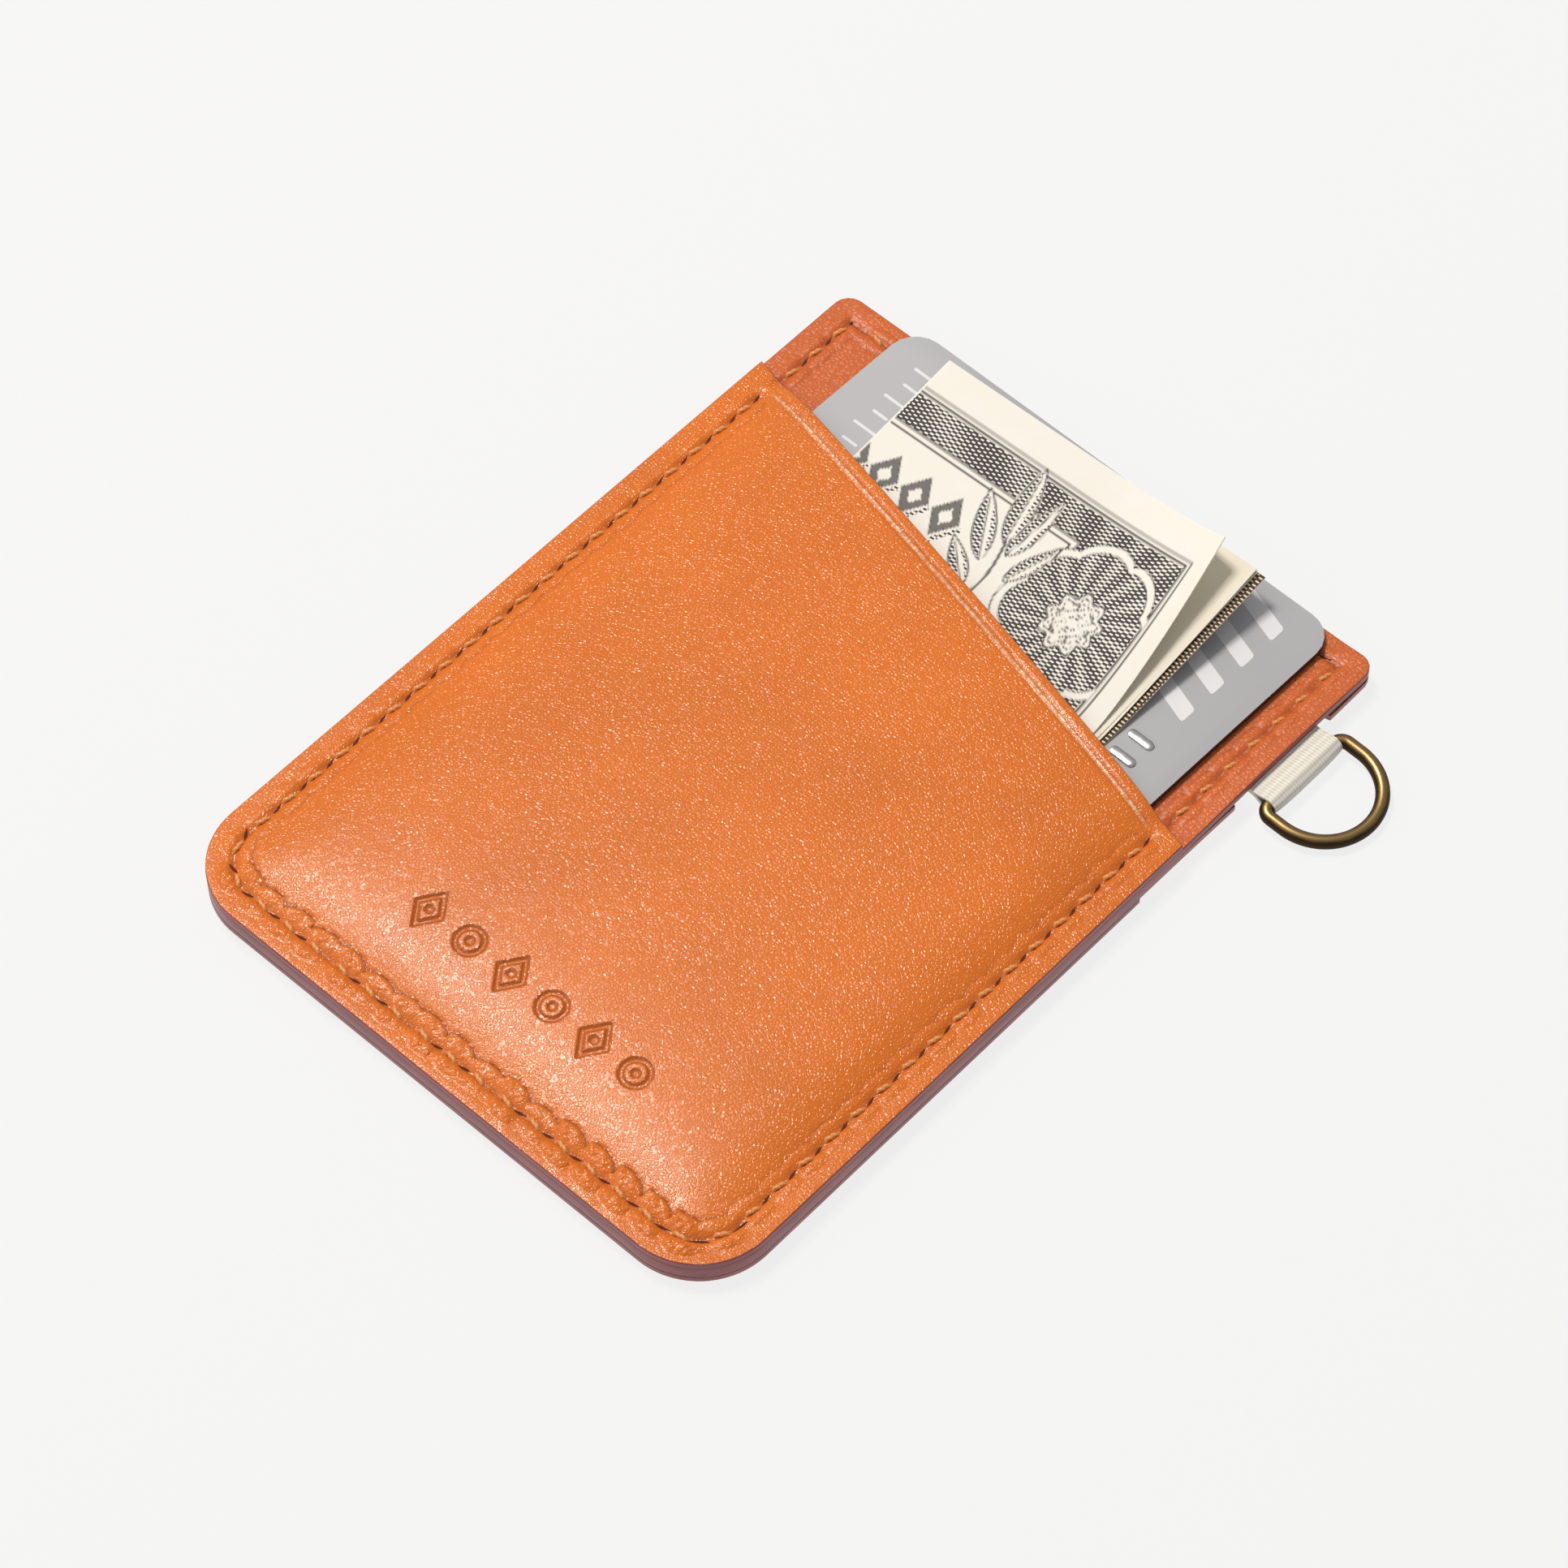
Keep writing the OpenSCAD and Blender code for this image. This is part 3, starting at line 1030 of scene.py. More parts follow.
    def tooling(self, x: np.ndarray, y: np.ndarray) -> tuple[np.ndarray, np.ndarray, np.ndarray]:
        """Give the heat crease below the mouth: a pressed double line with a rubbed lip.

        Args:
            x: Place across.
            y: Place along.

        Returns:
            Height change in millimetres, outwards, a darkness and a rubbed amount from 0 to 1.
        """
        if not self.mouth:
            return np.zeros(len(x)), np.zeros(len(x)), np.zeros(len(x))
        gap = (self.mouth.y(x) - y) * math.cos(math.radians(self.mouth.slope))
        line = bell(gap - 1.22, 0.14) + 0.7 * bell(gap - 1.78, 0.14)
        lip = bell(gap - 1.52, 0.18) + 0.8 * bell(gap - 0.6, 0.42)
        inside = smooth(self.seam.inside(x, y, open_top=True) - 0.6)
        rub = bell(gap - 1.5, 0.16) * (1.0 + 0.3 * np.sin(x * 0.9) * np.sin(x * 0.37 + 1))
        return (self.lip * lip - self.crease * line) * inside, 0.22 * line * inside, rub * inside

    def build(self) -> bpy.types.Object:
        """Make the panel.

        Returns:
            The finished piece, riding on the holder.
        """
        self.cut()
        self.thicken()
        self.refine()
        self.press()
        shade(self.piece)
        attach(self.piece, "holder")
        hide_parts(self.node)
        return self.piece


@dataclass
class FrontPocket(Panel):
    """The front pocket, swollen over the card and the note, with its row of blind stamps.

    Attributes:
        swell: How far its middle stands above its seam.
        shoulder: How far it stands up just inside the long seams.
        stamp_y: Middle of the row of stamps.
        stamps: Middles of the stamps across the pocket.
        stamp_depth: How deep a stamp is pressed.
    """

    swell: float = 1.75
    shoulder: float = 0.75
    stamp_y: float = -33.7
    stamps: tuple[float, ...] = (-11.9, -6.8, -1.6, 3.5, 8.7, 13.8)
    stamp_depth: float = 0.2

    def bow(self, points: Points) -> Points:
        """Swell the pocket over what it holds, steep beside the seam and flat on top.

        Args:
            points: Points of the flat blank.

        Returns:
            The same points, moved.
        """
        x, y = points[:, 0], points[:, 1]
        depth = self.seam.inside(x, y, open_top=True)
        side = 1 - np.exp(-((np.clip(depth - 0.5, 0, None) / 2.1) ** 1.35))
        climb = 1 - np.exp(-np.clip(y - self.low_y - 2.6, 0, None) / 7.5)
        crown = 1 - np.clip(np.abs(x) / 30.5, 0, 1) ** 2.3
        points[:, 2] += side * climb * (self.shoulder + (self.swell - self.shoulder) * crown)
        # the leather is never quite even: long, very low waves
        points[:, 2] += 0.06 * side * np.sin(x / 9.5 + 0.6) * np.sin(y / 13.0 + 1.1)
        return points

    def refine(self) -> None:
        """Cut the mesh finer at the seam, the mouth and the stamps."""
        super().refine()

        def stamped(c: Points, n: Points) -> np.ndarray:
            """Tell which faces, given by centre and normal, lie round the row of stamps."""
            across = (c[:, 0] > self.stamps[0] - 2.6) & (c[:, 0] < self.stamps[-1] + 2.6)
            return self.outward(n) & (np.abs(c[:, 1] - self.stamp_y) < 2.9) & across

        with editing(self.piece, stamped):
            bpy.ops.mesh.subdivide(number_cuts=5)

    def tooling(self, x: np.ndarray, y: np.ndarray) -> tuple[np.ndarray, np.ndarray, np.ndarray]:
        """Add six small blind stamps, a lozenge and a roundel by turns, to the heat crease.

        Args:
            x: Place across.
            y: Place along.

        Returns:
            As in Panel.tooling().
        """
        rise, dark, rub = super().tooling(x, y)
        v = y - self.stamp_y
        for i, centre in enumerate(self.stamps):
            u = x - centre
            dot = np.hypot(u, v)
            outline = np.abs(dot - 1.35) if i % 2 else np.abs(np.abs(u) / 1.45 + np.abs(v) / 1.95 - 1) * 1.15
            stroke = np.clip(smooth((0.32 - outline) / 0.2) + smooth((0.5 - dot) / 0.2), 0, 1)
            burnt = bell(outline - 0.3, 0.12) + bell(dot - 0.5, 0.12)
            near = (np.abs(u) < 2.4) & (np.abs(v) < 2.6)
            rise -= self.stamp_depth * stroke * near
            dark += (0.2 * stroke + 0.55 * burnt) * near
        return rise, dark, rub


@dataclass
class CentrePanel(Panel):
    """A centre panel, sprung apart a little beside the ribbon, and notched there if it is the back one.

    Attributes:
        ribbon_y: Middle of the ribbon.
        ribbon_reach: Half the length of the notch.
        notch: How far the notch goes in, or 0.
        cover: Mouth of the pocket that covers it.
        lift: How far the ribbon springs it.
    """

    ribbon_y: float = 32.3
    ribbon_reach: float = 6.8
    notch: float = 0.0
    cover: Mouth | None = None
    lift: float = 0.4

    def rows(self) -> np.ndarray:
        """Give the blank's rows, close together at the ends of the notch.

        Returns:
            The rows' places along.
        """
        if not self.notch:
            return super().rows()
        low, high = self.ribbon_y - self.ribbon_reach, self.ribbon_y + self.ribbon_reach
        stops = [self.low_y, low - 0.6, low + 1.4, high - 1.4, high + 0.6, self.high_y]
        return spaced(stops, [self.cell, 0.16, self.cell, 0.16, self.cell])

    def bow(self, points: Points) -> Points:
        """Cut the notch, and spring the edge away from the ribbon's tails.

        Args:
            points: Points of the flat blank.

        Returns:
            The same points, moved.
        """
        x, y = points[:, 0], points[:, 1]
        if self.notch:
            gap = self.ribbon_reach - np.abs(y - self.ribbon_y)
            deep = self.notch * np.sqrt(np.clip(1 - (1 - np.clip(gap / 1.1, 0, 1)) ** 2, 0, 1))
            keep = self.half_w - 4
            points[:, 0] = np.where(x > keep, keep + (x - keep) * (1 - deep / 4), x)
        near = bell(y - self.ribbon_y, 9) + 0.35 * smooth((y - self.ribbon_y) / 6)
        spring = self.lift * np.clip(near, 0, 1) * smooth((x - 28.9) / 4.2)
        points[:, 2] += spring * self.side.value
        return points

    def covered(self, x: np.ndarray, y: np.ndarray) -> np.ndarray:
        """Tell which places the pocket covers."""
        return y < self.cover.y(x) - 0.6


# --------------------------------------------------------------------------- thread


@dataclass
class SewnThread:
    """One run of stitches, lying where the CAD bars lie and diving into the leather at each end.

    Attributes:
        name: Name of the piece.
        node: CAD node that it stands for.
        seam: The seam that it follows.
        side: Which face it shows on.
        mouth: Mouth of the pocket on that face.
        pocket_z: Pocket's face at the seam.
        panel_z: Centre panel's face at the seam.
        radius: Half the thread's thickness.
        length: Length of thread in sight.
        slant: How far each stitch turns out of the seam's line, in degrees.
    """

    name: str
    node: str
    seam: Seam
    side: Side
    mouth: Mouth
    pocket_z: float
    panel_z: float
    radius: float = 0.25
    length: float = 1.9
    slant: float = 15.0

    def one_stitch(self) -> bpy.types.Object:
        """Model one stitch along x: two twisted strands, drawn down at both ends.

        Returns:
            The stitch, to be copied.
        """
        bpy.ops.object.select_all(action="DESELECT")
        half = self.length / 2
        bpy.ops.mesh.primitive_circle_add(
            vertices=8, radius=self.radius * MM, location=(-half * MM, 0, 0), rotation=(0, math.pi / 2, 0)
        )
        piece = named("stitch")
        with editing(piece):
            draw_on((self.length, 0, 0), 9)
        p = read(piece)
        t = p[:, 0] / half
        angle = np.arctan2(p[:, 2], p[:, 1])
        twist = 2 * (angle - t * 4.4)
        taper = np.sqrt(np.clip(1 - t**4 * 0.75, 0.1, 1))
        size = self.radius * taper * (1 + 0.2 * np.cos(twist))
        p[:, 1], p[:, 2] = size * np.cos(angle), size * np.sin(angle)
        p[:, 2] += 0.1 - 0.42 * t**4
        write(piece, p)
        note_value(piece, "strand", np.clip(0.5 + 0.5 * np.cos(twist), 0, 1) * (1 - 0.6 * t**6))
        return piece

    def one_pit(self) -> bpy.types.Object:
        """Model one needle slit along x: a low lens that shows as the dark of the hole.

        Returns:
            The slit, to be copied.
        """
        bpy.ops.object.select_all(action="DESELECT")
        bpy.ops.mesh.primitive_circle_add(vertices=10, radius=0.5 * MM, fill_type="TRIFAN")
        piece = named("needle_slit")
        p = read(piece)
        p[:, 0] *= 1.95
        p[:, 1] = p[:, 1] * 0.27 + 0.06 * np.sin(p[:, 0] * 1.8)
        # its ends curve up, as the leather does beside the hole
        p[:, 2] = 0.02 + 0.11 * (p[:, 0] / 0.975) ** 2
        write(piece, p)
        return piece

    def leather_z(self, x: float, y: float) -> float:
        """Find the height of the pressed leather at a place on this face.

        Args:
            x: Place across.
            y: Place along.

        Returns:
            The height in millimetres.
        """
        base = self.pocket_z if y < float(self.mouth.y(np.array([x]))[0]) + 0.4 else self.panel_z
        rise = float(self.seam.pull(np.array([x]), np.array([y]))[0][0])
        return base + (min(rise, 0.0) if self.side is Side.BACK else rise) * self.side.value

    def build(self) -> bpy.types.Object:
        """Lay a stitch and the slit after it at every place, and join them.

        Returns:
            The run of thread, riding on the holder.
        """
        thread, slit = self.one_stitch(), self.one_pit()
        wear(thread, TAN_THREAD)
        wear(slit, NEEDLE_HOLE)
        flip = Matrix.Scale(self.side.value, 4, (0, 0, 1))
        parts = []
        for stitch in self.seam.stitches:
            cos, sin = math.cos(stitch.angle), math.sin(stitch.angle)
            ahead = self.seam.pitch / 2
            for model, run, lean in ((thread, 0.0, -self.slant), (slit, ahead, 0.9 * self.slant)):
                x, y = stitch.x + cos * run, stitch.y + sin * run
                z = self.leather_z(x, y) + (0.04 if self.side is Side.FRONT else 0.08)
                copy = model.copy()
                copy.data = model.data.copy()
                turn = Matrix.Rotation(stitch.angle + math.radians(lean), 4, "Z")
                copy.data.transform(Matrix.Translation(Vector((x, y, z)) * MM) @ turn @ flip)
                if self.side is Side.BACK:
                    copy.data.flip_normals()
                bpy.context.collection.objects.link(copy)
                parts.append(copy)
        bpy.data.objects.remove(thread)
        bpy.data.objects.remove(slit)
        piece = join(self.name, parts)
        shade(piece, 60)
        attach(piece, "holder")
        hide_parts(self.node)
        return piece


# --------------------------------------------------------------------------- ribbon and ring


@dataclass
class RibbonLoop:
    """One strip of grosgrain, folded over the ring's bar, with both tails between the centre panels.

    Attributes:
        width: Width of the ribbon.
        ply: Its thickness.
        y: Its middle.
        seam_z: Height where the centre panels meet.
        bar: Place of the bar across and up.
        bore: Radius that it wraps on.
        inner_x: Where its tails end.
        edge_x: Where it comes out of the leather.
        step: Length of one row of its mesh.
    """

    width: float
    ply: float
    y: float
    seam_z: float
    bar: tuple[float, float]
    bore: float
    inner_x: float
    edge_x: float
    step: float = 0.1

    def path(self) -> Points:
        """Lay out the middle line of the ribbon, upper tail first.

        Returns:
            Points on the line every tenth of a millimetre, as x and z.
        """
        r = self.bore + self.ply / 2
        up, down = self.seam_z + self.ply / 2, self.seam_z - self.ply / 2
        turns = np.radians(np.arange(100, -116, -9))
        arc = [(self.bar[0] + r * math.cos(a), self.bar[1] + r * math.sin(a)) for a in turns]
        line = [(self.inner_x, up), (self.edge_x, up), (self.edge_x + 0.5, up - 0.01)]
        line += arc + [(self.edge_x + 0.5, down - 0.02), (self.edge_x, down), (self.inner_x, down)]
        line = np.array(line)
        s = np.concatenate([[0], np.cumsum(np.hypot(*np.diff(line, axis=0).T))])
        fine = np.arange(0, s[-1], self.step)
        path = np.column_stack([np.interp(fine, s, line[:, k]) for k in (0, 1)])
        for _ in range(14):
            path[1:-1] = (path[:-2] + 2 * path[1:-1] + path[2:]) / 4
        return path

    def build(self) -> bpy.types.Object:
        """Make the ribbon.

        Returns:
            The piece, blended from the holder to the loop.
        """
        path = self.path()
        along = np.arange(len(path)) * self.step
        piece = grid("grosgrain_ribbon", along, spaced([-self.width / 2, self.width / 2], [0.3]))
        wear(piece, IVORY_RIBBON)
        flat = read(piece)
        i = np.rint(flat[:, 0] / self.step).astype(int)
        tangent = np.gradient(path, axis=0)
        tangent /= np.linalg.norm(tangent, axis=1)[:, None]
        out = np.column_stack([-tangent[:, 1], tangent[:, 0]])
        edge = np.abs(flat[:, 1]) / (self.width / 2)
        cord = 0.05 * np.abs(np.cos(np.pi * along[i] / IVORY_RIBBON.cord)) - 0.05 * edge**8
        # the free fold bellies a little: its corners are drawn back towards the leather
        slack = 0.12 * edge**3 * np.exp(-(((along[i] - along[-1] / 2) / 2.2) ** 2))
        place = path[i] + out[i] * (cord - slack)[:, None]
        layer = piece.data.uv_layers.active or piece.data.uv_layers.new(name="UVMap")
        layer.name = "UVMap"
        corner = np.empty(len(piece.data.loops), np.int32)
        piece.data.loops.foreach_get("vertex_index", corner)
        layer.data.foreach_set("uv", (flat[corner, :2] * MM).ravel())
        write(piece, np.column_stack([place[:, 0], self.y + flat[:, 1], place[:, 1]]))
        finish_with(piece, "SOLIDIFY", thickness=(self.ply - 0.06) * MM, offset=0, use_even_offset=True)
        shade(piece, 60)
        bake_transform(piece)
        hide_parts("ribbon_tails", "ribbon_loop")
        return piece


@dataclass
class DRing:
    """The D-ring, bent from one length of brass wire and butted in the middle of its straight bar.

    Attributes:
        bar: Middle of the straight bar.
        wire: Radius of the wire.
        reach: Half its width between the legs' middles.
        corner: Radius of the two tight corners.
        bow: From the bar to the centre of the bow.
        tilt: How far it droops from the bar to rest, in radians.
    """

    bar: Vector
    wire: float = 0.7
    reach: float = 5.65
    corner: float = 1.0
    bow: float = 2.4
    tilt: float = 0.052

    def build(self) -> bpy.types.Object:
        """Bend the ring by extruding and spinning the wire's section round it.

        Returns:
            The ring, riding on its own body.
        """
        bpy.ops.object.select_all(action="DESELECT")
        bpy.ops.mesh.primitive_circle_add(vertices=20, radius=self.wire * MM, rotation=(math.pi / 2, 0, 0))
        piece = named("brass_d_ring")
        wear(piece, RELIEVED_BRASS)
        straight, leg = self.reach - self.corner, self.bow - self.corner
        # the bar's first half, then each turn and the straight stretch after it, round to the butt
        route = (
            ((self.corner, straight), math.pi / 2, 10, (leg, 0, 0), 2),
            ((self.bow, 0), math.pi, 48, (-leg, 0, 0), 2),
            ((self.corner, -straight), math.pi / 2, 10, (0, straight, 0), 6),
        )
        with editing(piece):
            draw_on((0, straight, 0), 6)
            for (cx, cy), angle, steps, ahead, rows in route:
                about = {"center": (cx * MM, cy * MM, 0), "axis": (0, 0, 1)}
                bpy.ops.mesh.spin(steps=steps, angle=angle, use_auto_merge=False, **about)
                draw_on(ahead, rows)
            bpy.ops.mesh.select_all(action="SELECT")
            bpy.ops.mesh.remove_doubles(threshold=0.01 * MM)
            bpy.ops.mesh.normals_make_consistent(inside=False)
        p = read(piece)
        # rubbed bright along the crown of both faces, dark round the sides
        note_value(piece, "rub", smooth((np.abs(p[:, 2]) / self.wire - 0.6) / 0.5))
        turned = Matrix.Translation(self.bar * MM) @ Matrix.Rotation(self.tilt, 4, "Y")
        piece.data.transform(turned)
        shade(piece, 60)
        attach(piece, "ring")
        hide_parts("d_ring")
        return piece


# --------------------------------------------------------------------------- contents


@dataclass
class BankCard:
    """A bank card with plain marks: contact pads, raised dashes, slanted print bars and a back stripe.

    Attributes:
        centre: Middle of the card, and the height of its underside.
        turn: Its turn in the pocket, in degrees.
        width: Its width across the pocket.
        height: Its length along the pocket.
        thickness: Its thickness.
        radius: Radius of its corners.
        film: Thickness of the print.
        raised: How far the raised dashes stand up.
    """

    centre: tuple[float, float, float]
    turn: float = -0.76
    width: float = 53.98
    height: float = 85.6
    thickness: float = 0.76
    radius: float = 3.18
    film: float = 0.015
    raised: float = 0.32

    def plate(
        self, w: float, h: float, x: float, y: float, low: float, high: float, r: float, *finishes: Finish
    ) -> bpy.types.Object:
        """Model a thin plate with rounded corners.

        Args:
            w: Its width.
            h: Its length.
            x: Its middle across.
            y: Its middle along.
            low: Height of its lower face above the card's underside.
            high: Height of its upper face.
            r: Radius of its corners.
            *finishes: Its finishes.

        Returns:
            The plate.
        """
        bpy.ops.object.select_all(action="DESELECT")
        bpy.ops.mesh.primitive_plane_add(size=1, location=(x * MM, y * MM, low * MM))
        bpy.context.object.scale = (w * MM, h * MM, 1)
        piece = named("plate")
        with editing(piece):
            bpy.ops.mesh.bevel(offset=r * MM, segments=5, affect="VERTICES")
            bpy.ops.mesh.select_all(action="SELECT")
            draw_on((0, 0, high - low), 1)
            bpy.ops.mesh.select_all(action="SELECT")
            bpy.ops.mesh.normals_make_consistent(inside=False)
        wear(piece, *finishes)
        return piece

    def body(self) -> bpy.types.Object:
        """Model the card itself, grey on both faces with a dark core at its edge.

        Returns:
            The card without its marks.
        """
        size = (self.width, self.height, 0, 0, 0, self.thickness, self.radius)
        piece = self.plate(*size, GREY_LAMINATE, CARD_CORE)
        with editing(piece, lambda c, n: np.abs(n[:, 2]) < 0.5):
            soften(0.06)
        paint_faces(piece, lambda c, n: np.abs(n[:, 2]) < 0.7, 1)
        return piece

    def marks(self) -> list[bpy.types.Object]:
        """Model the marks on both faces.

        Returns:
            One thin plate for each mark.
        """
        t = self.thickness
        face = (t, t + self.film)
        made = []
        # four slanted print bars at the open end, where a scheme's mark would be
        for i in range(4):
            bar = self.plate(5.6, 1.9, 20.2, 27.0 + 4.2 * i, *face, 0.35, WHITE_PRINT)
            p = read(bar)
            p[:, 1] += (p[:, 0] - 20.2) * -0.32
            write(bar, p)
            made.append(bar)
        # a fine row of strokes at the other side of that end
        for i in range(6):
            wide = 2.9 if i % 2 else 1.9
            made.append(self.plate(wide, 0.34, -21.9, 28.2 + 2.15 * i, *face, 0.15, WHITE_PRINT))
        # raised dashes, tipped with foil: one long row and one short row
        rows = [(3.6, 3.6, -31 + 3.1 * i + 2.2 * (i // 4)) for i in range(16)]
        rows += [(21.6, 2.9, -7 + 2.55 * i) for i in range(12)]
        for x, wide, y in rows:
            dash = self.plate(wide, 1.0, x, y, t - 0.02, t + self.raised, 0.45, SILVER_TIP)
            with editing(dash, lambda c, n: n[:, 2] > 0.5):
                soften(self.raised / 2)
            made.append(dash)
        # contact pads: eight plates with a fine gap between them
        for i in range(4):
            for j in range(2):
                x, y = -7.4 + 2.85 * i, -27.6 + 5.8 * j
                made.append(self.plate(2.6, 5.4, x, y, t, t + 0.02, 0.5, GOLD_CONTACT))
        # the dark stripe and the pale panel on the back
        made.append(self.plate(12.7, self.height - 0.6, 17.2, 0, -self.film, 0.0, 0.2, CARD_CORE))
        made.append(self.plate(9.0, 60, 3.4, -4, -self.film, 0.0, 0.4, WHITE_PRINT))
        return made

    def build(self) -> bpy.types.Object:
        """Make the card and settle it in the pocket.

        Returns:
            The card, riding on its own body.
        """
        piece = join("bank_card_plain_marks", [self.body(), *self.marks()])
        turned = Matrix.Rotation(math.radians(self.turn), 4, "Z")
        piece.data.transform(Matrix.Translation(Vector(self.centre) * MM) @ turned)
        shade(piece, 35)
        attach(piece, "card")
        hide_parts("bank_card")
        return piece


@dataclass
class FoldedNote:
    """A note folded in four: a printed leaf that springs open over the plies below it.

    Attributes:
        left: Its left fold.
        width: Width of the lower plies.
        leaf: Width of the printed leaf.
        top: Height of its top edge if it lay flat.
        height: Height of the note.
        floor: Height of its underside in the pocket.
        mouth: The mouth that pins it.
        spring: How steeply it springs up beyond the mouth.
        curl: How far the leaf's free corner is moved, across, along and up.
        sheet: Thickness of the paper.
        gap: From leaf to leaf of one folded sheet.
        inset: How much shorter each inner leaf is.
    """

    left: float
    width: float
    leaf: float
    top: float
    height: float
    floor: float
    mouth: Mouth
    spring: float = 0.15
    curl: tuple[float, float, float] = (-2.6, -1.4, 3.6)
    sheet: float = 0.11
    gap: float = 0.2
    inset: float = 0.6

    def sprung(self, x: np.ndarray, y: np.ndarray, z: np.ndarray, free: np.ndarray) -> Points:
        """Spring the note up out of the mouth, and curl the leaf's free corner.

        Args:
            x: Place across.
            y: Place along.
            z: Height in the pocket.
            free: How much of the leaf's own curl it takes, from 0 to 1.

        Returns:
            The new places.
        """
        start = self.mouth.y(x) - 0.5
        out = np.clip(y - start, 0, None)
        t = np.clip(out / (self.top - start), 0, 1)
        rise = self.spring * (np.hypot(out, 2.0) - 2.0)
        curl = free * np.clip((x - 2.5) / (self.left + self.leaf - 2.5), 0, 1.1) ** 1.9 * t**1.4
        moved = np.outer(curl, self.curl)
        return np.column_stack([x, y, z + rise]) + moved

    def fold(self, name: str, widths: tuple[float, float], low: float, fine: bool) -> bpy.types.Object:
        """Fold one sheet at the left: an upper leaf, the fold, and a lower leaf.

        Args:
            name: Name of the sheet.
            widths: Widths of the upper and lower leaf.
            low: Height of the lower leaf.
            fine: True for the leaf that carries drawn marks.

        Returns:
            The sheet, still without thickness.
        """
        upper, lower = widths
        gap = self.gap
        bend = math.pi * gap / 2
        cell = 0.2 if fine else 0.9
        along = spaced([0, upper, upper + bend, upper + bend + lower], [cell, gap / 3, 0.9])
        rows = spaced([self.top - self.height, self.top - 25, self.top], [1.6, cell if fine else 0.8])
        piece = grid(name, along, rows)
        p = read(piece)
        s, y = p[:, 0], p[:, 1]
        turn = np.clip((s - upper) / bend, 0, 1) * math.pi
        x = np.where(s <= upper, self.left + upper - s, self.left + (s - upper - bend))
        x = np.where((s > upper) & (s < upper + bend), self.left - np.sin(turn) * gap / 2, x)
        z = self.floor + low + gap * (1 + np.cos(turn)) / 2
        free = (s <= upper) * 1.0 if fine else 0.12 * (s <= upper)
        if fine:
            self.engrave(piece, x, y, s <= upper)
        write(piece, self.sprung(x, y, z, free))
        with editing(piece, lambda c, n: np.full(len(c), True)):
            bpy.ops.mesh.normals_make_consistent(inside=False)
        return piece

    def engrave(self, piece: bpy.types.Object, x: np.ndarray, y: np.ndarray, side: np.ndarray) -> None:
        """Draw the note's own plain design on the printed leaf: border, frame lines, sprig and cartouche.

        Args:
            piece: The sheet.
            x: Place across, before it is sprung.
            y: Place along.
            side: Which places are on the printed leaf.
        """
        u, v = self.left + self.leaf - x, self.top - y
        ink, net = np.zeros(len(x)), np.zeros(len(x))

        def line(distance: np.ndarray, half: float, where: np.ndarray | float = 1.0) -> None:
            """Ink a line of a half width where the distance from it is small."""
            np.maximum(ink, smooth((half + 0.09 - np.abs(distance)) / 0.15) * where, out=ink)

        def clear(where: np.ndarray) -> None:
            """Leave bare paper here, whatever was drawn before."""
            net[where] = 0
            ink[where] = 0

        frame = np.minimum(u - 2.2, v - 3.7)
        line(frame, 0.08)
        line(frame - 0.55, 0.12)
        net[frame > 0.7] = 0.82
        inner = np.minimum(u - 14.5, v - 7.9)
        clear(inner > 0)
        line(inner, 0.1)
        line(inner - 0.7, 0.06)
        # scalloped cartouche with a pale band, a star of rays inside it and a rosette in its middle
        cu, cv = 9.2, 15.0
        angle = np.arctan2(v - cv, u - cu)
        away = np.hypot((u - cu) * 1.02, (v - cv) * 0.92)
        ring = away - 7.0 - 0.9 * np.abs(np.sin(4 * angle + 0.6)) ** 0.6
        clear((ring < 0.4) & (inner > -1))
        net[(ring < 0) & (frame > 0.7)] = 0.72
        net *= 1 + 0.22 * np.cos(16 * angle + 0.35 * away) * (frame > 0.7) * (inner < 0)
        band = (np.abs(ring) < 0.42) & (frame > 0.5)
        clear(band)
        line(np.abs(ring) - 0.47, 0.06, (frame > 0.5) * 1.0)
        rose = away - 2.9 - 0.35 * np.cos(9 * angle)
        clear(rose < 0)
        line(rose, 0.12)
        line(rose + 0.6, 0.06)
        for turn in (0.0, 1.05, 2.1):
            line(away - 1.3 - 0.75 * np.cos(6 * angle + turn), 0.05, (rose < -0.5) * 1.0)
        # a sprig of leaves, shaded on one half, over the inner corner of the border
        for base, tip, wide in (
            ((19.2, 13.2), (18.6, 5.6), 1.15),
            ((20.3, 12.2), (22.4, 3.6), 1.3),
            ((21.0, 15.0), (25.2, 8.4), 1.25),
            ((20.4, 18.2), (24.6, 14.4), 1.05),
            ((17.6, 15.4), (15.4, 9.4), 0.9),
        ):
            reach = math.dist(base, tip)
            du, dv = (tip[0] - base[0]) / reach, (tip[1] - base[1]) / reach
            a = ((u - base[0]) * du + (v - base[1]) * dv) / reach
            b = (v - base[1]) * du - (u - base[0]) * dv
            span = np.clip(a, 0, 1)
            edge = np.abs(b) - wide * np.sin(np.pi * span**0.85) ** 0.8 * (1 - 0.25 * span)
            within = (a > -0.02) & (a < 1.02)
            clear(within & (edge < 0.12))
            net[within & (edge < 0) & (b > 0.1)] = 0.66
            net[within & (edge < 0) & (b < -0.45)] = 0.52
            line(np.where(within, edge, 9), 0.07)
            line(np.where((a > 0.02) & (a < 0.9), b, 9), 0.05)
        stem = u - 20.2 + 1.0 * np.sin((v - 12) / 3.1)
        line(stem, 0.12, ((v > 12) & (v < 22)) * 1.0)
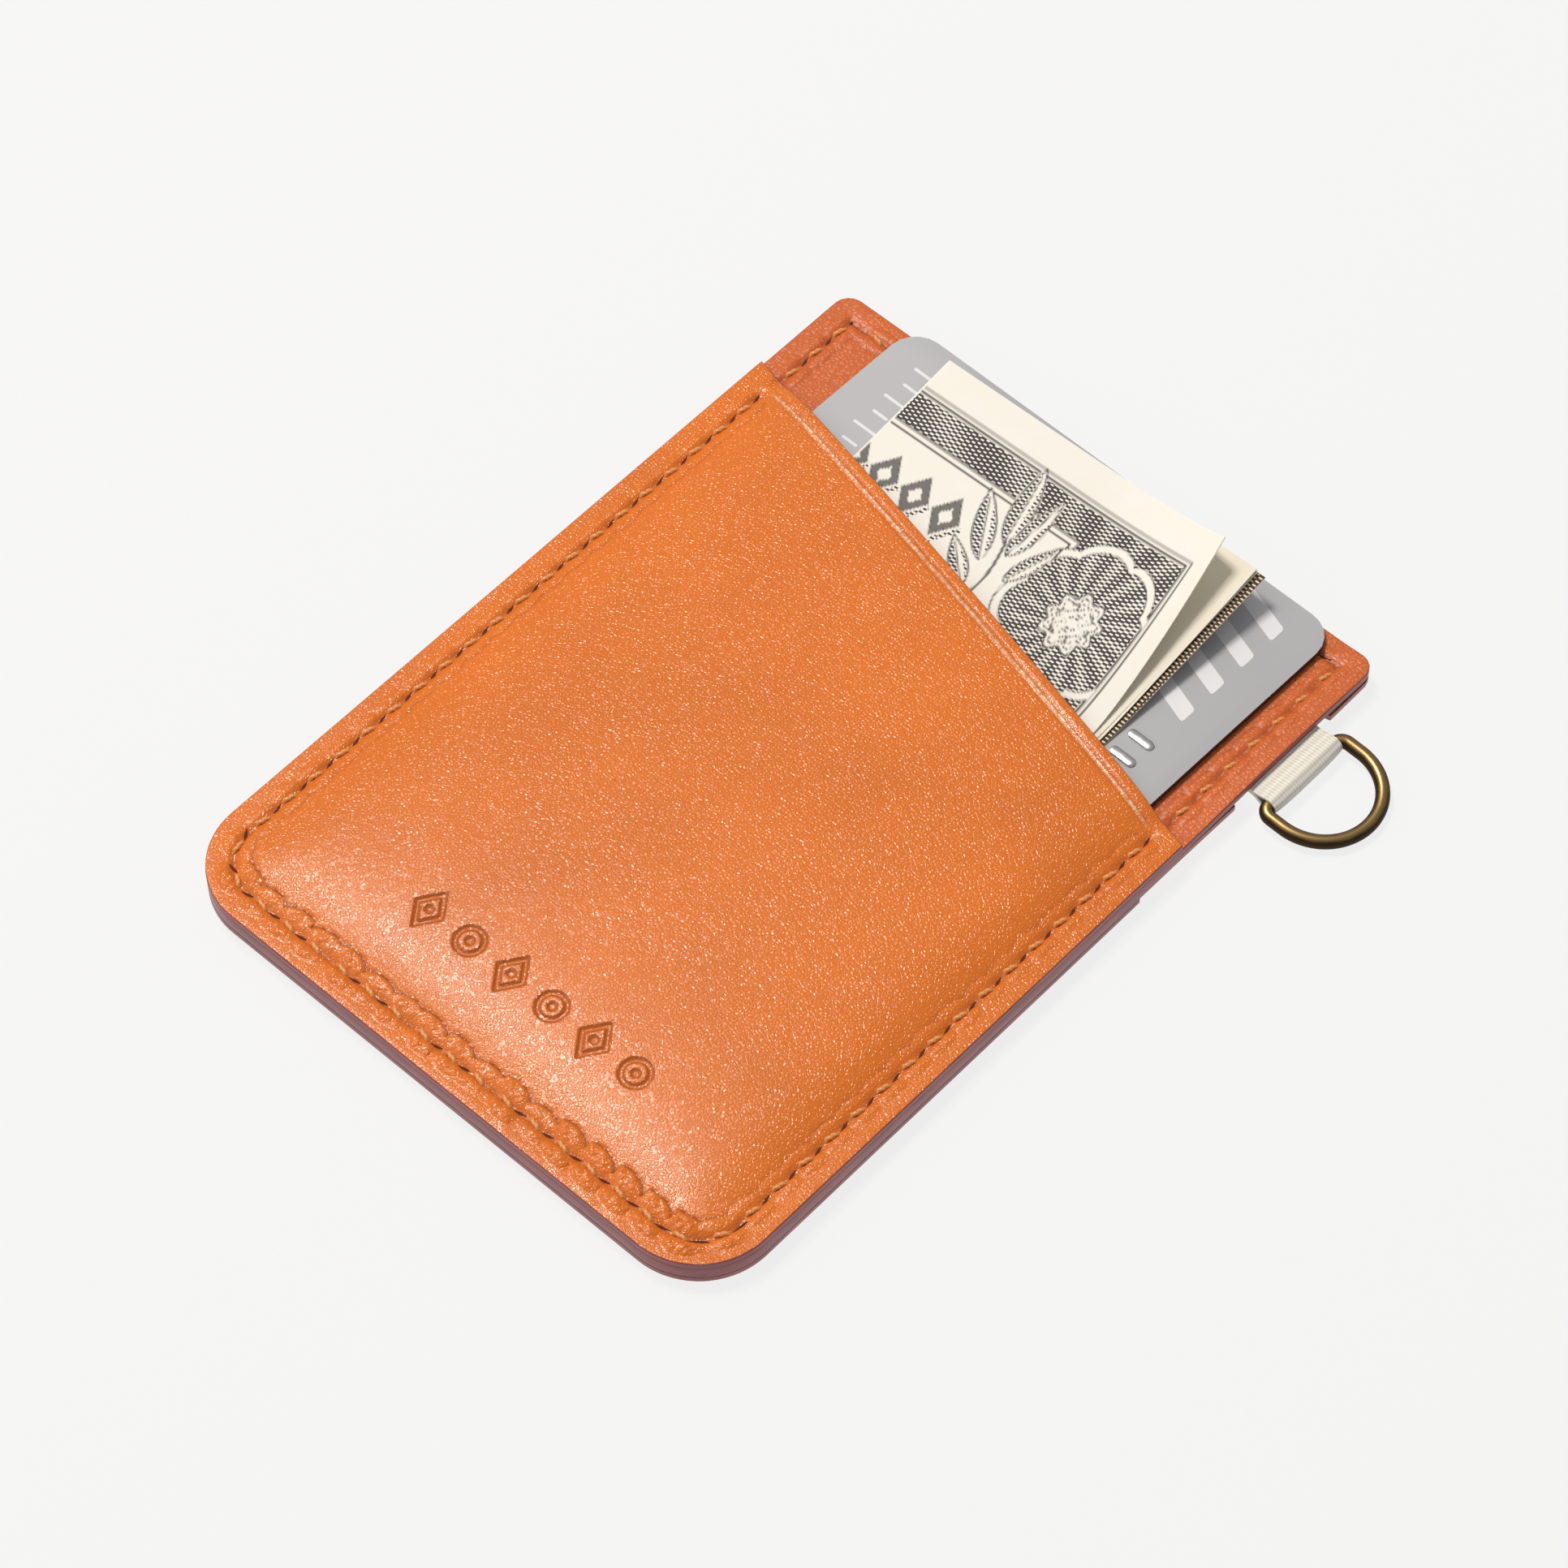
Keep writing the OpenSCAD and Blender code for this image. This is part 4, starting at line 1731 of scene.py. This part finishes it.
        # a row of shaded lozenges where a note carries its lettering
        for i in range(5):
            du, dv = u - 26.6 - 3.9 * i, v - 13.4
            cast = np.abs(du + 0.55) / 1.75 + np.abs(dv - 0.5) / 2.6
            face = np.abs(du) / 1.75 + np.abs(dv) / 2.6
            net[cast < 1] = 0.6
            clear(face < 1.12)
            ink[(face < 0.92) & (face > 0.42)] = 0.85
            line((face - 0.92) * 1.5, 0.06)
        note_value(piece, "ink", ink * side)
        note_value(piece, "lattice", net * side)

    def build(self) -> bpy.types.Object:
        """Make the note from its two folded sheets.

        Returns:
            The note, riding on its own body.
        """
        upper = self.fold("upper_fold", (self.leaf, self.width - 1.5 * self.inset), 0.36, True)
        lower = self.fold("lower_fold", (self.width - self.inset, self.width), 0.03, False)
        for piece in (upper, lower):
            wear(piece, NOTE_FACE, NOTE_PLAIN, NOTE_BACK)
            slots = {"material_offset": 1, "material_offset_rim": 1}
            finish_with(piece, "SOLIDIFY", thickness=self.sheet * MM, offset=0, **slots)
        paint_faces(upper, lambda c, n: n[:, 2] < 0.3, 1)
        paint_faces(lower, lambda c, n: n[:, 2] > -2, 1)
        # the lowest ply is printed, and a strip of it shows beside the one above
        edge = self.left + self.width - self.inset
        paint_faces(lower, lambda c, n: (n[:, 2] > 0.3) & (c[:, 0] > edge - 0.1), 2)
        paint_faces(lower, lambda c, n: n[:, 2] < -0.3, 2)
        piece = join("folded_note_plain_design", [upper, lower])
        shade(piece, 60)
        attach(piece, "note")
        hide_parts("folded_note")
        return piece


# --------------------------------------------------------------------------- studio


class Wardrobe:
    """Keeps one material for each finish.

    Attributes:
        made: The materials made so far.
    """

    made: dict[Finish, bpy.types.Material] = {}

    @classmethod
    def of(cls, finish: Finish) -> bpy.types.Material:
        """Give a finish's material, made the first time that it is asked for.

        Args:
            finish: The finish.

        Returns:
            Its one material.
        """
        if finish not in cls.made:
            cls.made[finish] = finish.build()
        return cls.made[finish]


@dataclass
class Studio:
    """A pale floor, soft lamps and the camera. Its places and sizes are metres.

    Attributes:
        eye: Place of the camera.
        turn: Its turns about x, y and z, in degrees.
        lens: Its focal length on a 36 mm sensor.
        warmth: Colour of the lamps, linear.
        lamps: Name, place, size and power of each lamp; all look at the object.
        air: Strength of the background light.
        paper: Strength of the floor's own glow, which keeps it pale and nearly even.
    """

    eye: tuple[float, float, float] = (0.210701, -0.220286, 0.443083)
    turn: tuple[float, float, float] = (34.4903, 0.6327, 42.7409)
    lens: float = 133.564
    warmth: tuple[float, float, float] = (1.0, 0.945, 0.86)
    lamps: list[tuple[str, tuple[float, float, float], float, float]] = field(
        default_factory=lambda: [
            ("key_softbox", (-0.315, 0.045, 0.72), 0.2, 4.4),
            ("fill_softbox", (-0.45, -0.55, 0.5), 0.6, 1.2),
        ]
    )
    air: float = 0.33
    paper: float = 0.815

    def build(self) -> None:
        """Set up the camera, the lamps, the floor and the background light."""
        scene = bpy.context.scene
        data = bpy.data.cameras.new("camera")
        camera = bpy.data.objects.new("camera", data)
        scene.collection.objects.link(camera)
        camera.location = self.eye
        camera.rotation_euler = Euler([math.radians(a) for a in self.turn], "XYZ")
        data.lens, data.sensor_width = self.lens, 36.0
        data.clip_start, data.clip_end = 0.01, 20.0
        scene.camera = camera
        scene.view_settings.view_transform = "Standard"
        for name, spot, size, power in self.lamps:
            light = bpy.data.lights.new(name, "AREA")
            light.shape, light.size, light.energy = "SQUARE", size, power
            light.color = self.warmth
            lamp = bpy.data.objects.new(name, light)
            lamp.location = spot
            lamp.rotation_euler = (-Vector(spot)).to_track_quat("-Z", "Y").to_euler()
            scene.collection.objects.link(lamp)
        world = bpy.data.worlds.new("studio_air")
        world.use_nodes = True
        feed(world.node_tree.nodes["Background"], {"Color": (1, 1, 1, 1), "Strength": self.air})
        scene.world = world
        bpy.ops.object.select_all(action="DESELECT")
        # a hair below the object, so that the two faces never lie in one plane
        bpy.ops.mesh.primitive_plane_add(size=12, location=(0, 0, -0.1 * MM))
        floor = named("studio_floor")
        paper, _, shader = Finish("studio_paper", "#585858", 0.9).start()
        glow = {"Emission Color": (1, 1, 1, 1), "Emission Strength": self.paper}
        feed(shader, {**glow, "Specular IOR Level": 0.1})
        floor.data.materials.append(paper)
        bpy.ops.mesh.primitive_cylinder_add(vertices=64, radius=5.5, depth=12, end_fill_type="NOTHING")
        cyclorama = named("studio_cyclorama")
        cyclorama.data.materials.append(paper)
        # it is there to be seen behind the object and adds no light of its own
        cyclorama.visible_diffuse = cyclorama.visible_glossy = cyclorama.visible_shadow = False


# --------------------------------------------------------------------------- whole


@dataclass
class Sizes:
    """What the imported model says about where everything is, in millimetres.

    Attributes:
        boxes: Each node's lowest and highest corner.
        joints: Each hinge's place.
    """

    boxes: dict[str, tuple[Vector, Vector]]
    joints: dict[str, Vector]

    @classmethod
    def read(cls, frame: dict) -> Sizes:
        """Read every node's box and every hinge's place.


        Returns:
            The sizes.
        """
        boxes = {n: tuple(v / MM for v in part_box(n)) for n in frame["nodes"]}
        joints = {j["name"]: Vector(j["pos_m"]) / MM for j in frame["joints"] if j.get("pos_m")}
        return cls(boxes, joints)

    def low(self, node: str) -> Vector:
        """Give a node's lowest corner."""
        return self.boxes[node][0]

    def high(self, node: str) -> Vector:
        """Give a node's highest corner."""
        return self.boxes[node][1]


@dataclass
class CardHolder:
    """The whole object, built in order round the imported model.

    Attributes:
        slope: Degrees that both mouths fall towards the ring side.
        seam_radius: Radius of the seam at the bottom corners.
        pitch: Length from stitch to stitch.
        half_thread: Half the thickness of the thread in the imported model.
    """

    frame: dict
    slope: float = 13.1
    seam_radius: float = 4.8
    pitch: float = 3.4
    half_thread: float = 0.25

    def mouth(self, sizes: Sizes, node: str) -> Mouth:
        """Read a pocket's mouth from its node's box."""
        high = sizes.high(node)
        return Mouth(high.y - high.x * math.tan(math.radians(self.slope)), self.slope)

    def build(self) -> list[bpy.types.Object]:
        """Make every piece.

        Returns:
            The pieces, in the order they were made.
        """
        sizes = Sizes.read(self.frame)
        front, back = self.mouth(sizes, "front_pocket"), self.mouth(sizes, "back_pocket")
        seams = {}
        for side, node in ((Side.FRONT, "needle_thread"), (Side.BACK, "bobbin_thread")):
            low, high, half = sizes.low(node), sizes.high(node), self.half_thread
            run = (high.x - half, low.y + half, high.y - half)
            seams[side] = Seam(*run, self.seam_radius, self.pitch, stitches_of(self.frame["nodes"][node]))
        body = sizes.high("centre_panel_front")
        shared = dict(half_w=body.x, low_y=-body.y, corner_r=8.0, top_r=1.8)
        face_z = sizes.high("centre_panel_front").z
        back_z = sizes.low("centre_panel_back").z
        front_z = face_z + sizes.high("back_pocket").z
        centre = dict(high_y=body.y, thickness=face_z / 2 - back_z / 2, grain=PANEL_CALF, **shared)
        ribbon = sizes.boxes["ribbon_tails"]
        made = [
            CentrePanel(
                "centre_panel_back_leather", "centre_panel_back", Side.BACK, face_z=back_z,
                seam=seams[Side.BACK], cover=back, notch=1.6, **centre,
            ).build(),
            CentrePanel(
                "centre_panel_front_leather", "centre_panel_front", Side.FRONT, face_z=face_z,
                seam=seams[Side.FRONT], cover=front, **centre,
            ).build(),
            Panel(
                "back_pocket_leather", "back_pocket", Side.BACK, high_y=back.height, face_z=0.0,
                thickness=back_z, grain=POCKET_CALF, seam=seams[Side.BACK], mouth=back, **shared,
            ).build(),
            FrontPocket(
                "front_pocket_leather", "front_pocket", Side.FRONT, high_y=front.height, face_z=front_z,
                thickness=front_z - face_z, grain=POCKET_CALF, seam=seams[Side.FRONT], mouth=front,
                swell=sizes.high("front_pocket").z - front_z, **shared,
            ).build(),
            SewnThread(
                "needle_thread_run", "needle_thread", seams[Side.FRONT], Side.FRONT, front, front_z, face_z
            ).build(),
            SewnThread(
                "bobbin_thread_run", "bobbin_thread", seams[Side.BACK], Side.BACK, back, 0.0, back_z
            ).build(),
            RibbonLoop(
                width=ribbon[1].y - ribbon[0].y, ply=(ribbon[1].z - ribbon[0].z) / 2,
                y=(ribbon[1].y + ribbon[0].y) / 2, seam_z=(ribbon[1].z + ribbon[0].z) / 2,
                bar=(sizes.joints["ring_swing"].x, sizes.joints["ring_swing"].z), bore=0.75,
                inner_x=ribbon[0].x, edge_x=body.x,
            ).build(),
            DRing(bar=sizes.joints["ring_swing"]).build(),
        ]
        card = sizes.boxes["bank_card"]
        note = sizes.boxes["folded_note"]
        made += [
            BankCard(((card[0].x + card[1].x) / 2, (card[0].y + card[1].y) / 2, card[0].z)).build(),
            FoldedNote(
                left=note[0].x, width=note[1].x - note[0].x, leaf=note[1].x - note[0].x - 1.4, top=note[1].y,
                height=66.3, floor=note[0].z, mouth=front,
            ).build(),
        ]
        return made


def main() -> None:
    """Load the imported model, build the studio and the object, and report each piece."""
    logging.basicConfig(level=logging.INFO, format="%(name)s: %(message)s")
    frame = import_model()
    Studio().build()
    for piece in CardHolder(frame).build():
        LOG.info("%s: %d faces", piece.name, len(piece.data.polygons))


if __name__ == "__main__":
    main()
